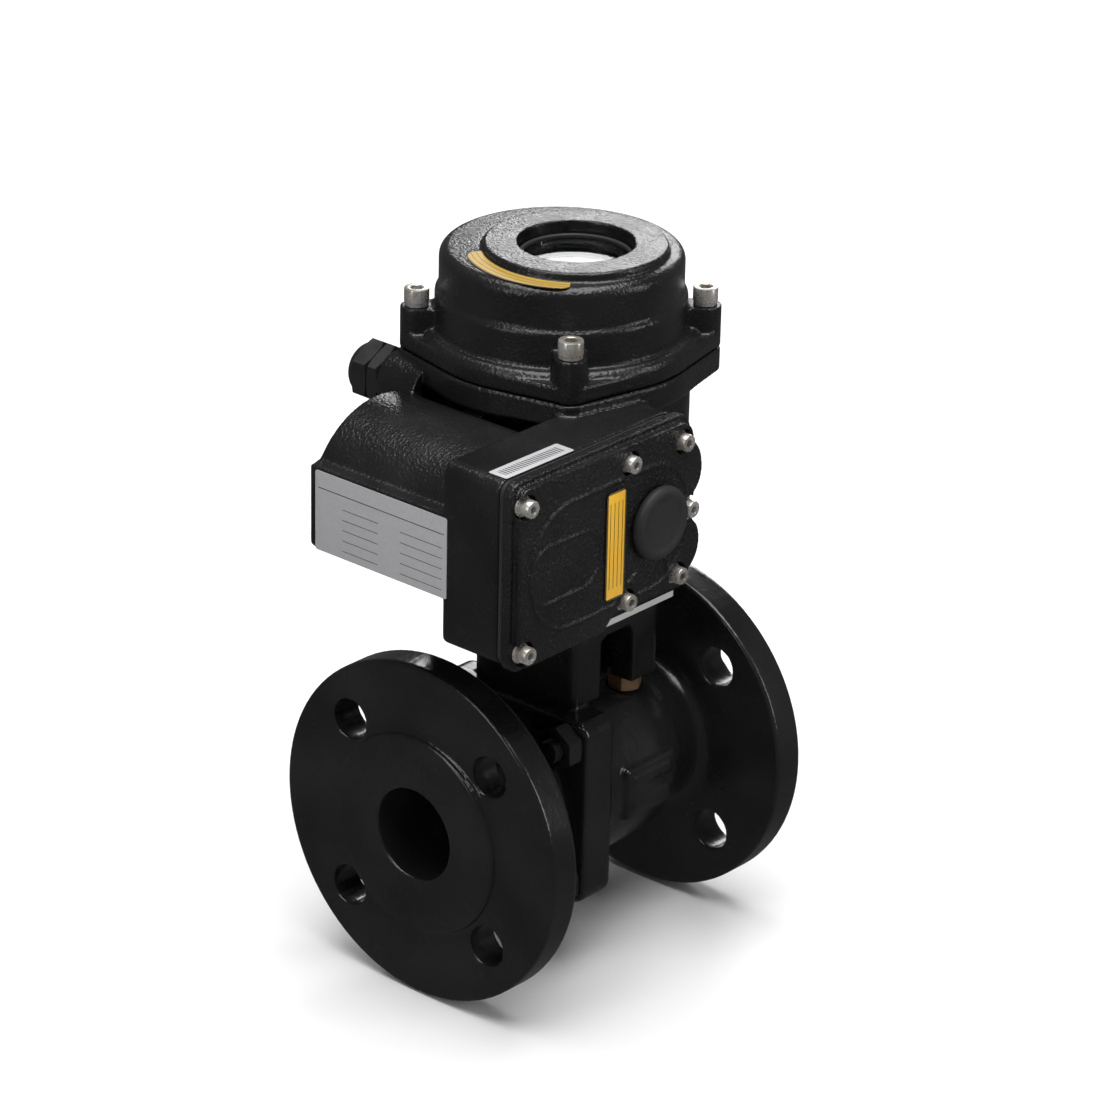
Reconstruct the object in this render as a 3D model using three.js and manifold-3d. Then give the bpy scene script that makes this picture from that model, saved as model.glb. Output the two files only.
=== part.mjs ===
// Motorized quarter-turn valve: an electric actuator on a flanged two-piece ball valve.
// Millimetres, +Z up. Origin: the ball's centre, where the pipe axis (X) crosses the stem axis (Z).
// The gear case and its cover face -Y, and the motor chamber lies on the -X side. Rest pose: valve open.
import * as THREE from 'three';
import { mergeVertices } from 'three/addons/utils/BufferGeometryUtils.js';
import Module from 'manifold-3d';

const wasm = await Module();
wasm.setup();

// ---------- driving dimensions ----------

const GAP = 0.3; // clearance kept between neighbouring solids
const RIM_FACETS = 40; // facets of a flange
const ROUND = 24; // facets of a large circle
const MEDIUM = 16; // facets of a middling circle
const SMALL = 10; // facets of a small circle
const SHANK = 8; // facets of a bolt's shank and its hole

// Pipe flanges: DN40 PN16
const FLANGE_R = 75;
const RAISED_R = 44;
const RAISED_H = 3;
const DISC_T = 15;
const PORT_R = 20;
const FLANGE_HOLE_R = 9;
const FLANGE_PCD = 110;
const INLET_X = -94.5; // raised face of the end cap's flange
const OUTLET_X = 70.5; // raised face of the body's flange
const NECK_R = 31;

// Body joint
const PLATE_HALF = 42;
const PLATE_CORNER = 7;
const PLATE_T = 11;
const CAP_PLATE_X = -34.6;
const JOINT_GAP = 2;
const BODY_PLATE_X = CAP_PLATE_X + PLATE_T + JOINT_GAP;
const STUD_OFFSET = 31.5;
const STUD_R = 5;
const STUD_NUT_AF = 17;
const STUD_NUT_H = 8;

// Ball, seats and stem
const BODY_R = 41;
const BALL_R = 30;
const BALL_ROOM_R = 31.4;
const SEAT_CUP_R = 31.1; // clears the turning ball's facets
const SEAT_R = 27;
const SEAT_X = 18.5;
const SEAT_BACK_X = 27.5;
const STEM_R = 8;
const STEM_HOLE_R = 8.8;
const STEM_SQUARE = 11;
const STEM_TOP = 98;
const SLOT_HALF = 3.3;

// Top works of the valve: stuffing box and mounting platform
const PLATFORM_Z = 42.6;
const PLATFORM_TOP = 77;
const PLATFORM_HALF = 28;
const PLATFORM_CORNER = 4;
const PLATFORM_WINDOW_HALF = 10;
const PLATFORM_ROOM_R = 18.5;
const PLATFORM_BASE_T = 3.6;
const PLATFORM_PAD_T = 7;
const STUFFING_R = 17;
const PACKING_R = 12;
const BASE_BOLT_OFFSET = 50 / 2 / Math.SQRT2; // four bolts on a 50 mm circle
const BASE_BOLT_R = 4;
const BASE_BOLT_AF = 13;
const BASE_BOLT_HEAD = 6.4; // with its washer
const ADAPTER_TOP = 82;

// Actuator housing
const TOWER_Y = 7.2;
const TOWER_HALF = 43;
const TOWER_CORNER = 16;
const TOWER_WALL = 4.5;
const HOUSING_Z = ADAPTER_TOP + GAP;
const FLOOR_Z = 98;
const PARTING_Z = 188.2;
const RIM_R = 57.5;
const RIM_Z = 178;
const LUG_OFFSET = 41.9;
const LUG_R = 6.8;
const LID_BOLT_R = 3;
const LID_BOLT_END_Z = 182;

// Gear case, outline in X and Z
const CASE_LEFT = -116.5;
const CASE_BOTTOM = 103.5;
const CASE_TOP = 184.6;
const CASE_FRONT_Y = -63;
const CASE_FLOOR_Y = -40;
const CASE_WALL = 4;
const GASKET_T = 2.4;
const COVER_BACK_Y = CASE_FRONT_Y - GASKET_T - 2 * GAP;
const COVER_LIP_Y = -70.5;
const COVER_FACE_Y = -74;
const COVER_INSET = 2.3;
const COVER_SCREW_R = 2;
const COVER_SCREWS = [
  ['left_top', -110.5, 174.6],
  ['middle_top', -49.3, 174.6],
  ['right_top', -16.7, 174.2],
  ['right_middle', -12.6, 144.1],
  ['right_bottom', -18.2, 116.4],
  ['middle_bottom', -49.9, 115],
  ['left_bottom', -110.5, 112],
];

const OVERRIDE_CAP_R = 15.6;

// Motor chamber
const MOTOR_X = -77;
const MOTOR_Z = 140.4;
const CHAMBER_R = 40;
const CHAMBER_BACK_Y = 38;
const CHAMBER_SIDE_X = -116;
const CHAMBER_BOTTOM_Z = 124.2;
const SIDE_PAD_TOP_Z = 161.5;
const MOTOR_R = 27.5;
const MOTOR_FLANGE_R = 31.2;
const MOTOR_BACK_Y = 30;

// Gear train
const WORM_X = -32.4;
const WORM_Z = 144.2;
const WHEEL_TEETH = 30;
const WHEEL_MODULE = 1.6;
const WORM_TIP_R = 9.8;
const WORM_ROOT_R = 6.7;
const WORM_HALF = 15;
const SPUR_MODULE = 0.8;
const WORM_GEAR_TEETH = 32;
const IDLER_TEETH = 33;
const PINION_TEETH = 14;
const SPUR_Y = -56;
const SPUR_T = 6;

// Cable gland
const GLAND_X = -45;
const GLAND_Z = 173;
const GLAND_Y = 57;

// Output shaft
const SHAFT_R = 13;
const SHAFT_NECK_R = 6;
const SHAFT_SHOULDER_Z = 172;
const DECK_Z = 173;
const CAM_T = 4;
const CAM_OPEN_Z = 176.5;
const CAM_CLOSED_Z = 183;
const SWITCH_X = 16;

// Lid and window
const DOME_R = 50.4;
const DOME_FILLET = 4.6;
const DOME_FALL = 0.9; // the dome's top drops this much from the window ring to its rounded edge
const DOME_LEDGE_Z = 213; // the dome is a little wider below this height
const DOME_FOOT_R = 52;
const DOME_TOP = 233;
const LID_Z = PARTING_Z + 0.6;
const LID_RIM_TOP = 195;
const LUG_TOP = 206.6;
const WINDOW_RING_R = 38.1;
const WINDOW_RING_TOP = 236;
const WINDOW_R = 24.2;

// ---------- materials ----------

const paint = (color, roughness, metalness = 0) => new THREE.MeshStandardMaterial({ color, roughness, metalness });
const CAST_PAINT = paint(0x0b0b0c, 0.32);
const HOUSING_PAINT = paint(0x101012, 0.38);
const STEEL = paint(0xb9bbbd, 0.3, 1);
const DARK_STEEL = paint(0x2a2b2d, 0.42, 0.8);
const ZINC_YELLOW = paint(0xa5885c, 0.45, 0.9);
const BARE_ALUMINIUM = paint(0xc4c6c8, 0.4, 0.9);
const BRONZE = paint(0xa5763c, 0.35, 0.9);
const RUBBER = paint(0x141414, 0.7);
const SEAT_WHITE = paint(0xe8e6df, 0.5);
const BLACK_PLASTIC = paint(0x17181a, 0.45);
const BOARD_GREEN = paint(0x1f5a3a, 0.5);
const DIAL_WHITE = paint(0xf2f2ee, 0.45);
const CAM_RED = paint(0xa0302a, 0.5);
const GLASS = new THREE.MeshStandardMaterial({ color: 0xe6eeee, roughness: 0.05, transparent: true, opacity: 0.35 });

// ---------- solids ----------

function solid(geometry) {
  const bare = geometry.index ? geometry.toNonIndexed() : geometry.clone();
  bare.deleteAttribute('normal');
  bare.deleteAttribute('uv');
  const merged = mergeVertices(bare, 1e-4);
  return new wasm.Manifold(
    new wasm.Mesh({
      numProp: 3,
      vertProperties: new Float32Array(merged.attributes.position.array),
      triVerts: new Uint32Array(merged.index.array),
    }),
  );
}

function geometryOf(manifold) {
  const mesh = manifold.asOriginal().simplify(0.02).getMesh();
  const geometry = new THREE.BufferGeometry();
  geometry.setAttribute('position', new THREE.BufferAttribute(new Float32Array(mesh.vertProperties), 3));
  geometry.setIndex(new THREE.BufferAttribute(new Uint32Array(mesh.triVerts), 1));
  geometry.computeVertexNormals();
  return geometry;
}

const join = (first, ...others) => others.reduce((sum, other) => sum.add(other), first);
const cut = (first, ...others) => others.reduce((rest, other) => rest.subtract(other), first);
const hull = (...solids) => wasm.Manifold.hull(solids);

function box(x0, x1, y0, y1, z0, z1) {
  const geometry = new THREE.BoxGeometry(x1 - x0, y1 - y0, z1 - z0);
  geometry.translate((x0 + x1) / 2, (y0 + y1) / 2, (z0 + z1) / 2);
  return solid(geometry);
}

function cylinderZ(r, z0, z1, x = 0, y = 0, facets = ROUND, rTop = r) {
  const geometry = new THREE.CylinderGeometry(rTop, r, z1 - z0, facets);
  geometry.rotateX(Math.PI / 2);
  geometry.translate(x, y, (z0 + z1) / 2);
  return solid(geometry);
}

function cylinderX(r, x0, x1, y = 0, z = 0, facets = ROUND, rFar = r) {
  const geometry = new THREE.CylinderGeometry(r, rFar, x1 - x0, facets);
  geometry.rotateZ(Math.PI / 2);
  geometry.translate((x0 + x1) / 2, y, z);
  return solid(geometry);
}

function cylinderY(r, y0, y1, x = 0, z = 0, facets = ROUND, rFar = r) {
  const geometry = new THREE.CylinderGeometry(rFar, r, y1 - y0, facets);
  geometry.translate(x, (y0 + y1) / 2, z);
  return solid(geometry);
}

function sphere(r, facets = 18) {
  const geometry = new THREE.SphereGeometry(r, facets, 10);
  geometry.rotateX(Math.PI / 2);
  return solid(geometry);
}

function extrudeZ(shape, z0, z1, curveSegments = 4) {
  const geometry = new THREE.ExtrudeGeometry(shape, { depth: z1 - z0, bevelEnabled: false, curveSegments });
  geometry.translate(0, 0, z0);
  return solid(geometry);
}

// A shape drawn in X and Z, pushed along Y from y0 (the -Y end) to y1.
function extrudeY(shape, y0, y1, curveSegments = 3) {
  const geometry = new THREE.ExtrudeGeometry(shape, { depth: y1 - y0, bevelEnabled: false, curveSegments });
  geometry.rotateX(Math.PI / 2);
  geometry.translate(0, y1, 0);
  return solid(geometry);
}

// A shape drawn in Y and Z, pushed along X from x0 to x1.
function extrudeX(shape, x0, x1, curveSegments = 3) {
  const geometry = new THREE.ExtrudeGeometry(shape, { depth: x1 - x0, bevelEnabled: false, curveSegments });
  geometry.rotateY(Math.PI / 2);
  geometry.rotateX(Math.PI / 2);
  geometry.translate(x0, 0, 0);
  return solid(geometry);
}

// A closed profile of [radius, height] points turned about Z.
function latheZ(points, facets = ROUND) {
  const profile = points.map(([r, z]) => new THREE.Vector2(r, z));
  profile.push(profile[0].clone());
  const geometry = new THREE.LatheGeometry(profile, facets);
  geometry.rotateX(Math.PI / 2);
  return solid(geometry);
}

function roundedRect(x0, x1, y0, y1, r) {
  const shape = new THREE.Shape();
  shape.moveTo(x0 + r, y0);
  shape.lineTo(x1 - r, y0);
  shape.absarc(x1 - r, y0 + r, r, -Math.PI / 2, 0, false);
  shape.lineTo(x1, y1 - r);
  shape.absarc(x1 - r, y1 - r, r, 0, Math.PI / 2, false);
  shape.lineTo(x0 + r, y1);
  shape.absarc(x0 + r, y1 - r, r, Math.PI / 2, Math.PI, false);
  shape.lineTo(x0, y0 + r);
  shape.absarc(x0 + r, y0 + r, r, Math.PI, 1.5 * Math.PI, false);
  return shape;
}

const roundedSquare = (cx, cy, half, r) => roundedRect(cx - half, cx + half, cy - half, cy + half, r);

function hexagon(acrossFlats, cx = 0, cy = 0, turn = 0) {
  const r = acrossFlats / Math.sqrt(3);
  const corner = (i) => turn + (i * Math.PI) / 3;
  const shape = new THREE.Shape();
  for (let i = 0; i < 6; i += 1) {
    const x = cx + r * Math.cos(corner(i));
    const y = cy + r * Math.sin(corner(i));
    if (i === 0) shape.moveTo(x, y);
    else shape.lineTo(x, y);
  }
  return shape;
}

// A spur gear's outline: straight-flanked teeth, narrow enough to leave backlash.
function gearShape(teeth, module, phase, addendum, dedendum, tipHalf, rootHalf) {
  const pitchR = (teeth * module) / 2;
  const shape = new THREE.Shape();
  for (let i = 0; i < teeth; i += 1) {
    const at = phase + (i * 2 * Math.PI) / teeth;
    const points = [
      [pitchR - dedendum, -rootHalf],
      [pitchR + addendum, -tipHalf],
      [pitchR + addendum, tipHalf],
      [pitchR - dedendum, rootHalf],
    ];
    points.forEach(([r, half], k) => {
      const angle = at + half / r;
      const x = r * Math.cos(angle);
      const y = r * Math.sin(angle);
      if (i === 0 && k === 0) shape.moveTo(x, y);
      else shape.lineTo(x, y);
    });
  }
  return shape;
}

const corners = (offset) => [
  [-offset, -offset],
  [offset, -offset],
  [offset, offset],
  [-offset, offset],
];

// ---------- pipe side ----------

function flange(faceX, side) {
  const span = (a, b) => [faceX + side * a, faceX + side * b].sort((p, q) => p - q);
  const [r0, r1] = span(0, RAISED_H + 1);
  const [d0, d1] = span(RAISED_H, RAISED_H + DISC_T);
  return join(cylinderX(RAISED_R, r0, r1), cylinderX(FLANGE_R, d0, d1, 0, 0, RIM_FACETS));
}

function flangeHoles(faceX, side) {
  const reach = RAISED_H + DISC_T + 1;
  const [x0, x1] = [faceX - side, faceX + side * reach].sort((p, q) => p - q);
  const offset = FLANGE_PCD / 2 / Math.SQRT2;
  return corners(offset).map(([y, z]) => cylinderX(FLANGE_HOLE_R, x0, x1, y, z, SMALL));
}

function studHoles(x0, x1) {
  return corners(STUD_OFFSET).map(([y, z]) => cylinderX(STUD_R + GAP, x0, x1, y, z, SHANK));
}

function baseBoltHoles(z0, z1) {
  return corners(BASE_BOLT_OFFSET).map(([x, y]) => cylinderZ(BASE_BOLT_R + GAP, z0, z1, x, y, SHANK));
}

function coverScrewHoles(y0, y1) {
  return COVER_SCREWS.map(([, x, z]) => cylinderY(COVER_SCREW_R + GAP, y0, y1, x, z, SHANK));
}

function lidBoltHoles(z0, z1) {
  return corners(LUG_OFFSET).map(([x, y]) => cylinderZ(LID_BOLT_R + GAP, z0, z1, x, y + TOWER_Y, SHANK));
}

// Round pockets that give the bolt heads under the platform room in the castings.
function headPockets() {
  return corners(BASE_BOLT_OFFSET).map(([x, y]) => cylinderZ(9, PLATFORM_Z - 7, PLATFORM_Z, x, y, SMALL));
}

function endCap() {
  const discBack = INLET_X + RAISED_H + DISC_T;
  const plate = extrudeX(roundedSquare(0, 0, PLATE_HALF, PLATE_CORNER), CAP_PLATE_X, CAP_PLATE_X + PLATE_T);
  const neck = cylinderX(NECK_R, discBack - 1, CAP_PLATE_X + 1);
  const rootFillet = cylinderX(NECK_R + 7, discBack - 0.5, discBack + 7, 0, 0, ROUND, NECK_R);
  const plateFillet = cylinderX(NECK_R, CAP_PLATE_X - 4, CAP_PLATE_X + 0.5, 0, 0, ROUND, NECK_R + 3);
  return cut(
    join(flange(INLET_X, 1), neck, rootFillet, plateFillet, plate),
    cylinderX(PORT_R, INLET_X - 1, 0),
    cylinderX(SEAT_R + GAP, -SEAT_BACK_X - GAP, 0),
    ...flangeHoles(INLET_X, 1),
    ...studHoles(CAP_PLATE_X - 1, 0),
    ...headPockets(),
  );
}

// The actuator's foot: two pads joined by four corner posts. It is open between the posts at the front
// and back, all the way down outside the stuffing box.
function platform() {
  const block = extrudeZ(roundedSquare(0, 0, PLATFORM_HALF, PLATFORM_CORNER), PLATFORM_Z, PLATFORM_TOP);
  const z0 = PLATFORM_Z + PLATFORM_BASE_T;
  const z1 = PLATFORM_TOP - PLATFORM_PAD_T;
  const reach = PLATFORM_HALF + 1;
  const open = (y0, y1, from) => box(-PLATFORM_WINDOW_HALF, PLATFORM_WINDOW_HALF, y0, y1, from, z1);
  return cut(
    block,
    cylinderZ(PLATFORM_ROOM_R, z0, z1),
    open(-reach, reach, z0),
    open(-reach, -STUFFING_R - 1, PLATFORM_Z - 1),
    open(STUFFING_R + 1, reach, PLATFORM_Z - 1),
  );
}

function valveBody() {
  const discBack = OUTLET_X - RAISED_H - DISC_T;
  const plateEnd = BODY_PLATE_X + PLATE_T;
  const plate = extrudeX(roundedSquare(0, 0, PLATE_HALF, PLATE_CORNER), BODY_PLATE_X, plateEnd);
  const barrel = cylinderX(BODY_R, plateEnd - 1, 14);
  const shoulder = cylinderX(BODY_R, 14 - 0.01, 36, 0, 0, ROUND, NECK_R + 2);
  const hub = cylinderX(NECK_R + 2, 35, discBack + 1);
  const rootFillet = cylinderX(NECK_R + 2, discBack - 7, discBack + 0.5, 0, 0, ROUND, NECK_R + 9);
  const stuffingBox = cylinderZ(STUFFING_R, 30, PLATFORM_Z + PLATFORM_BASE_T);
  const castPad = box(-8, 24, -BODY_R - 1.4, -30, -12, 12);
  return cut(
    join(flange(OUTLET_X, -1), plate, barrel, shoulder, hub, rootFillet, castPad, stuffingBox, platform()),
    cylinderX(PORT_R, 0, OUTLET_X + 1),
    cylinderX(31, BODY_PLATE_X - 1, 6),
    sphere(BALL_ROOM_R),
    cylinderX(SEAT_R + GAP, 0, SEAT_BACK_X + GAP),
    cylinderZ(STEM_HOLE_R, 20, PLATFORM_TOP + 1, 0, 0, SMALL),
    cylinderZ(STEM_SQUARE * 0.9, PLATFORM_TOP - PLATFORM_PAD_T - 1, PLATFORM_TOP + 1, 0, 0, SMALL),
    cylinderZ(PACKING_R, 36, PLATFORM_Z + PLATFORM_BASE_T + 1, 0, 0, MEDIUM),
    ...flangeHoles(OUTLET_X, -1),
    ...studHoles(BODY_PLATE_X - 1, plateEnd - 1.5),
    ...headPockets(),
    ...baseBoltHoles(PLATFORM_Z - 1, PLATFORM_TOP + 1),
  );
}

function bodyGasket() {
  const x0 = CAP_PLATE_X + PLATE_T + GAP;
  const x1 = BODY_PLATE_X - GAP;
  return cut(cylinderX(38, x0, x1, 0, 0, ROUND), cylinderX(31.5, x0 - 1, x1 + 1, 0, 0, ROUND));
}

function seatRing(side) {
  const [x0, x1] = [side * SEAT_X, side * SEAT_BACK_X].sort((p, q) => p - q);
  return cut(
    cylinderX(SEAT_R, x0, x1, 0, 0, ROUND),
    cylinderX(PORT_R, x0 - 1, x1 + 1, 0, 0, ROUND),
    sphere(SEAT_CUP_R),
  );
}

function ball() {
  return cut(
    sphere(BALL_R),
    cylinderX(PORT_R, -BALL_R - 1, BALL_R + 1, 0, 0, ROUND),
    box(-SLOT_HALF, SLOT_HALF, -BALL_R, BALL_R, 25.4, BALL_R + 1),
  );
}

function valveStem() {
  const half = STEM_SQUARE / 2;
  return join(
    box(-SLOT_HALF + GAP, SLOT_HALF - GAP, -7, 7, 25.7, 32),
    cylinderZ(STEM_R, 31, 64, 0, 0, SMALL),
    box(-half, half, -half, half, 63, STEM_TOP),
  );
}

function stemPacking() {
  return cut(
    cylinderZ(PACKING_R - GAP, 36 + GAP, PLATFORM_Z + PLATFORM_BASE_T - GAP, 0, 0, MEDIUM),
    cylinderZ(STEM_HOLE_R, 30, 50, 0, 0, SMALL),
  );
}

function glandNut() {
  const z0 = PLATFORM_Z + PLATFORM_BASE_T + GAP;
  return cut(extrudeZ(hexagon(26), z0, z0 + 10), cylinderZ(STEM_HOLE_R, z0 - 1, z0 + 11, 0, 0, SMALL));
}

function bodyStud([y, z]) {
  return cylinderX(STUD_R, CAP_PLATE_X - STUD_NUT_H - 5, BODY_PLATE_X + PLATE_T - 2, y, z, SHANK);
}

function bodyNut([y, z]) {
  const x1 = CAP_PLATE_X - GAP;
  const nut = extrudeX(hexagon(STUD_NUT_AF, y, z, Math.PI / 6), x1 - STUD_NUT_H, x1);
  return cut(nut, cylinderX(STUD_R + GAP, x1 - STUD_NUT_H - 1, x1 + 1, y, z, SHANK));
}

function baseBolt([x, y]) {
  const z1 = PLATFORM_Z - GAP;
  return join(
    extrudeZ(hexagon(BASE_BOLT_AF, x, y, Math.PI / 6), z1 - BASE_BOLT_HEAD, z1),
    cylinderZ(BASE_BOLT_R, z1 - 1, FLOOR_Z - 4, x, y, SHANK),
  );
}

function adapterPlate() {
  const z0 = PLATFORM_TOP + GAP;
  return cut(
    extrudeZ(roundedSquare(0, 0, 32, 2), z0, ADAPTER_TOP, 3),
    cylinderZ(15, z0 - 1, ADAPTER_TOP + 1, 0, 0, MEDIUM),
    ...baseBoltHoles(z0 - 1, ADAPTER_TOP + 1),
  );
}

// ---------- actuator housing ----------

// Outline of the gear case and its cover: a box with two rounded lobes on the +X side.
function caseOutline(inset) {
  const left = CASE_LEFT + inset;
  const bottom = CASE_BOTTOM + inset;
  const top = CASE_TOP - inset;
  const stepBottom = 109 + inset;
  const r = 6 - inset * 0.6;
  const shape = new THREE.Shape();
  shape.moveTo(left + r, bottom);
  shape.lineTo(-62.5 - inset * 0.4, bottom);
  shape.lineTo(-57 - inset * 0.4, stepBottom);
  shape.lineTo(-18, stepBottom);
  shape.quadraticCurveTo(-10 - inset, stepBottom, -9 - inset, 117);
  shape.quadraticCurveTo(-3 - inset, 121, -3 - inset, 128.5);
  shape.quadraticCurveTo(-3 - inset, 135, -8 - inset, 138.5);
  shape.lineTo(-8 - inset, 149.5);
  shape.quadraticCurveTo(-2.6 - inset, 153, -2.6 - inset, 160);
  shape.quadraticCurveTo(-2.6 - inset, 168, -8 - inset, 172.5);
  shape.quadraticCurveTo(-8.5 - inset, top, -17 - inset, top);
  shape.lineTo(left + r, top);
  shape.absarc(left + r, top - r, r, Math.PI / 2, Math.PI, false);
  shape.lineTo(left, bottom + r);
  shape.absarc(left + r, bottom + r, r, Math.PI, 1.5 * Math.PI, false);
  return shape;
}

// Outline of the motor chamber: a round back and top, with a flat side pad and a flat underside.
function chamberOutline(inset) {
  const r = CHAMBER_R - inset;
  const startZ = SIDE_PAD_TOP_Z + 1;
  const startAngle = Math.PI - Math.asin((startZ - MOTOR_Z) / r);
  const shape = new THREE.Shape();
  shape.moveTo(MOTOR_X + r * Math.cos(startAngle), startZ);
  shape.lineTo(CHAMBER_SIDE_X + inset, SIDE_PAD_TOP_Z - inset);
  shape.lineTo(CHAMBER_SIDE_X + inset, CHAMBER_BOTTOM_Z + 3);
  shape.lineTo(CHAMBER_SIDE_X + 3 + inset, CHAMBER_BOTTOM_Z + inset);
  shape.lineTo(-60, CHAMBER_BOTTOM_Z - 14);
  shape.lineTo(-38, CHAMBER_BOTTOM_Z - 14);
  shape.lineTo(-38, MOTOR_Z);
  shape.absarc(MOTOR_X, MOTOR_Z, r, 0, startAngle, false);
  return shape;
}

// The four lugs of the lid joint: a round end on a straight arm that reaches inwards.
function lugs(z0, z1) {
  const reach = 24;
  return corners(LUG_OFFSET).map(([x, y]) => {
    const arm = new THREE.BoxGeometry(LUG_R * 2, reach, z1 - z0);
    arm.translate(0, -reach / 2, 0);
    arm.rotateZ(Math.atan2(y, x) - Math.PI / 2);
    arm.translate(x, y + TOWER_Y, (z0 + z1) / 2);
    return join(solid(arm), cylinderZ(LUG_R, z0, z1, x, y + TOWER_Y, SMALL));
  });
}

function gearCaseBosses(y0, y1, r) {
  return COVER_SCREWS.map(([, x, z]) => cylinderY(r, y0, y1, x, z, SMALL));
}

function housing() {
  const tower = extrudeZ(roundedSquare(0, TOWER_Y, TOWER_HALF, TOWER_CORNER), HOUSING_Z, PARTING_Z);
  const rim = hull(cylinderZ(RIM_R, RIM_Z, PARTING_Z, 0, TOWER_Y), ...lugs(RIM_Z, PARTING_Z));
  const chamfer = cylinderZ(TOWER_HALF + 5, RIM_Z - 8, RIM_Z + 0.01, 0, TOWER_Y, ROUND, RIM_R);
  const pillar = cylinderZ(5, 150, RIM_Z + 1, -LUG_OFFSET, LUG_OFFSET + TOWER_Y, SMALL);
  const web = box(-LUG_OFFSET - 5, -30, LUG_OFFSET + TOWER_Y - 16, LUG_OFFSET + TOWER_Y + 1, 150, RIM_Z + 1);
  const gearCase = extrudeY(caseOutline(1), CASE_FRONT_Y, -34);
  const chamber = extrudeY(chamberOutline(0), CASE_FLOOR_Y + 1, CHAMBER_BACK_Y);
  const glandBoss = cylinderY(13, 36, GLAND_Y, GLAND_X, GLAND_Z, MEDIUM);
  const outer = join(tower, rim, chamfer, pillar, web, gearCase, chamber, glandBoss);

  const towerRoom = cut(
    extrudeZ(
      roundedSquare(0, TOWER_Y, TOWER_HALF - TOWER_WALL, TOWER_CORNER - TOWER_WALL), FLOOR_Z, PARTING_Z + 1,
    ),
    box(-44, -21, 31.7, 41, FLOOR_Z - 1, DECK_Z - GAP),
    box(21, 40, -32, -22, FLOOR_Z - 1, DECK_Z - GAP),
  );
  const boreRoom = cylinderZ(16 + GAP, HOUSING_Z - 1, FLOOR_Z + 1, 0, 0, MEDIUM);
  const wormRoom = cylinderY(10.8, -31.5, 33, WORM_X, WORM_Z, MEDIUM);
  const caseRoom = cut(
    extrudeY(caseOutline(CASE_WALL + 1), CASE_FRONT_Y - 1, CASE_FLOOR_Y),
    ...gearCaseBosses(CASE_FRONT_Y - 2, CASE_FLOOR_Y + 1, 5.4),
  );
  const frontBearingRoom = cylinderY(8 + GAP, CASE_FLOOR_Y - 1, -33, WORM_X, WORM_Z, MEDIUM);
  const shaftRoom = cylinderY(4.6, -34, -30, WORM_X, WORM_Z, SMALL);
  const backBearingRoom = cylinderY(8 + GAP, 32, 40, WORM_X, WORM_Z, MEDIUM);
  const motorRoom = join(
    cylinderY(MOTOR_FLANGE_R + GAP, CASE_FLOOR_Y - 1, -34, MOTOR_X, MOTOR_Z),
    cylinderY(MOTOR_R + GAP, -35, CHAMBER_BACK_Y - 4, MOTOR_X, MOTOR_Z),
  );
  const wireWay = cylinderY(7.1, 33, GLAND_Y + 1, GLAND_X, GLAND_Z, SMALL);
  const glandSpace = cylinderY(15, GLAND_Y, GLAND_Y + 14, GLAND_X, GLAND_Z, MEDIUM);
  const wireBend = box(GLAND_X, -30, 33, 42, GLAND_Z - 4, GLAND_Z + 6);
  return cut(
    outer,
    towerRoom,
    boreRoom,
    wormRoom,
    caseRoom,
    frontBearingRoom,
    shaftRoom,
    backBearingRoom,
    motorRoom,
    wireWay,
    glandSpace,
    wireBend,
    ...baseBoltHoles(HOUSING_Z - 1, FLOOR_Z - 3.5),
    ...coverScrewHoles(CASE_FRONT_Y - 1, -50.5),
    ...lidBoltHoles(LID_BOLT_END_Z - 0.5, PARTING_Z + 1),
  );
}

function gearCoverGasket() {
  const y0 = COVER_BACK_Y + GAP;
  const y1 = CASE_FRONT_Y - GAP;
  return cut(
    extrudeY(caseOutline(1.6), y0, y1),
    cut(extrudeY(caseOutline(CASE_WALL + 1), y0 - 1, y1 + 1), ...gearCaseBosses(y0 - 2, y1 + 2, 5.4)),
    ...coverScrewHoles(y0 - 1, y1 + 1),
  );
}

function gearCover() {
  const lip = extrudeY(caseOutline(0), COVER_LIP_Y, COVER_BACK_Y);
  const face = extrudeY(caseOutline(COVER_INSET), COVER_FACE_Y, COVER_LIP_Y + 1);
  const room = cut(
    extrudeY(caseOutline(CASE_WALL + 1), COVER_FACE_Y + 3.4, COVER_BACK_Y + 1),
    ...gearCaseBosses(COVER_FACE_Y, COVER_BACK_Y + 2, 5.4),
  );
  const spotfaces = COVER_SCREWS.map(([, x, z]) => cylinderY(5.2, COVER_FACE_Y - 1, COVER_LIP_Y, x, z, SMALL));
  return cut(
    join(lip, face),
    room,
    ...spotfaces,
    ...coverScrewHoles(COVER_FACE_Y, COVER_BACK_Y + 1),
    cylinderY(7, COVER_FACE_Y - 1, COVER_BACK_Y + 1, WORM_X, WORM_Z, MEDIUM),
  );
}

// Socket-head screw with its washers, head towards -Y.
function coverScrew([, x, z]) {
  const seat = COVER_LIP_Y - GAP;
  const head = cut(
    cylinderY(3.6, seat - 6.2, seat - 1.9, x, z, SMALL),
    extrudeY(hexagon(3, x, z), seat - 7, seat - 4.2),
  );
  return join(
    cylinderY(4.4, seat - 0.8, seat, x, z, SMALL),
    cylinderY(3.7, seat - 2, seat - 0.7, x, z, SMALL),
    head,
    cylinderY(COVER_SCREW_R, seat - 2.1, -51, x, z, SHANK),
  );
}

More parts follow.
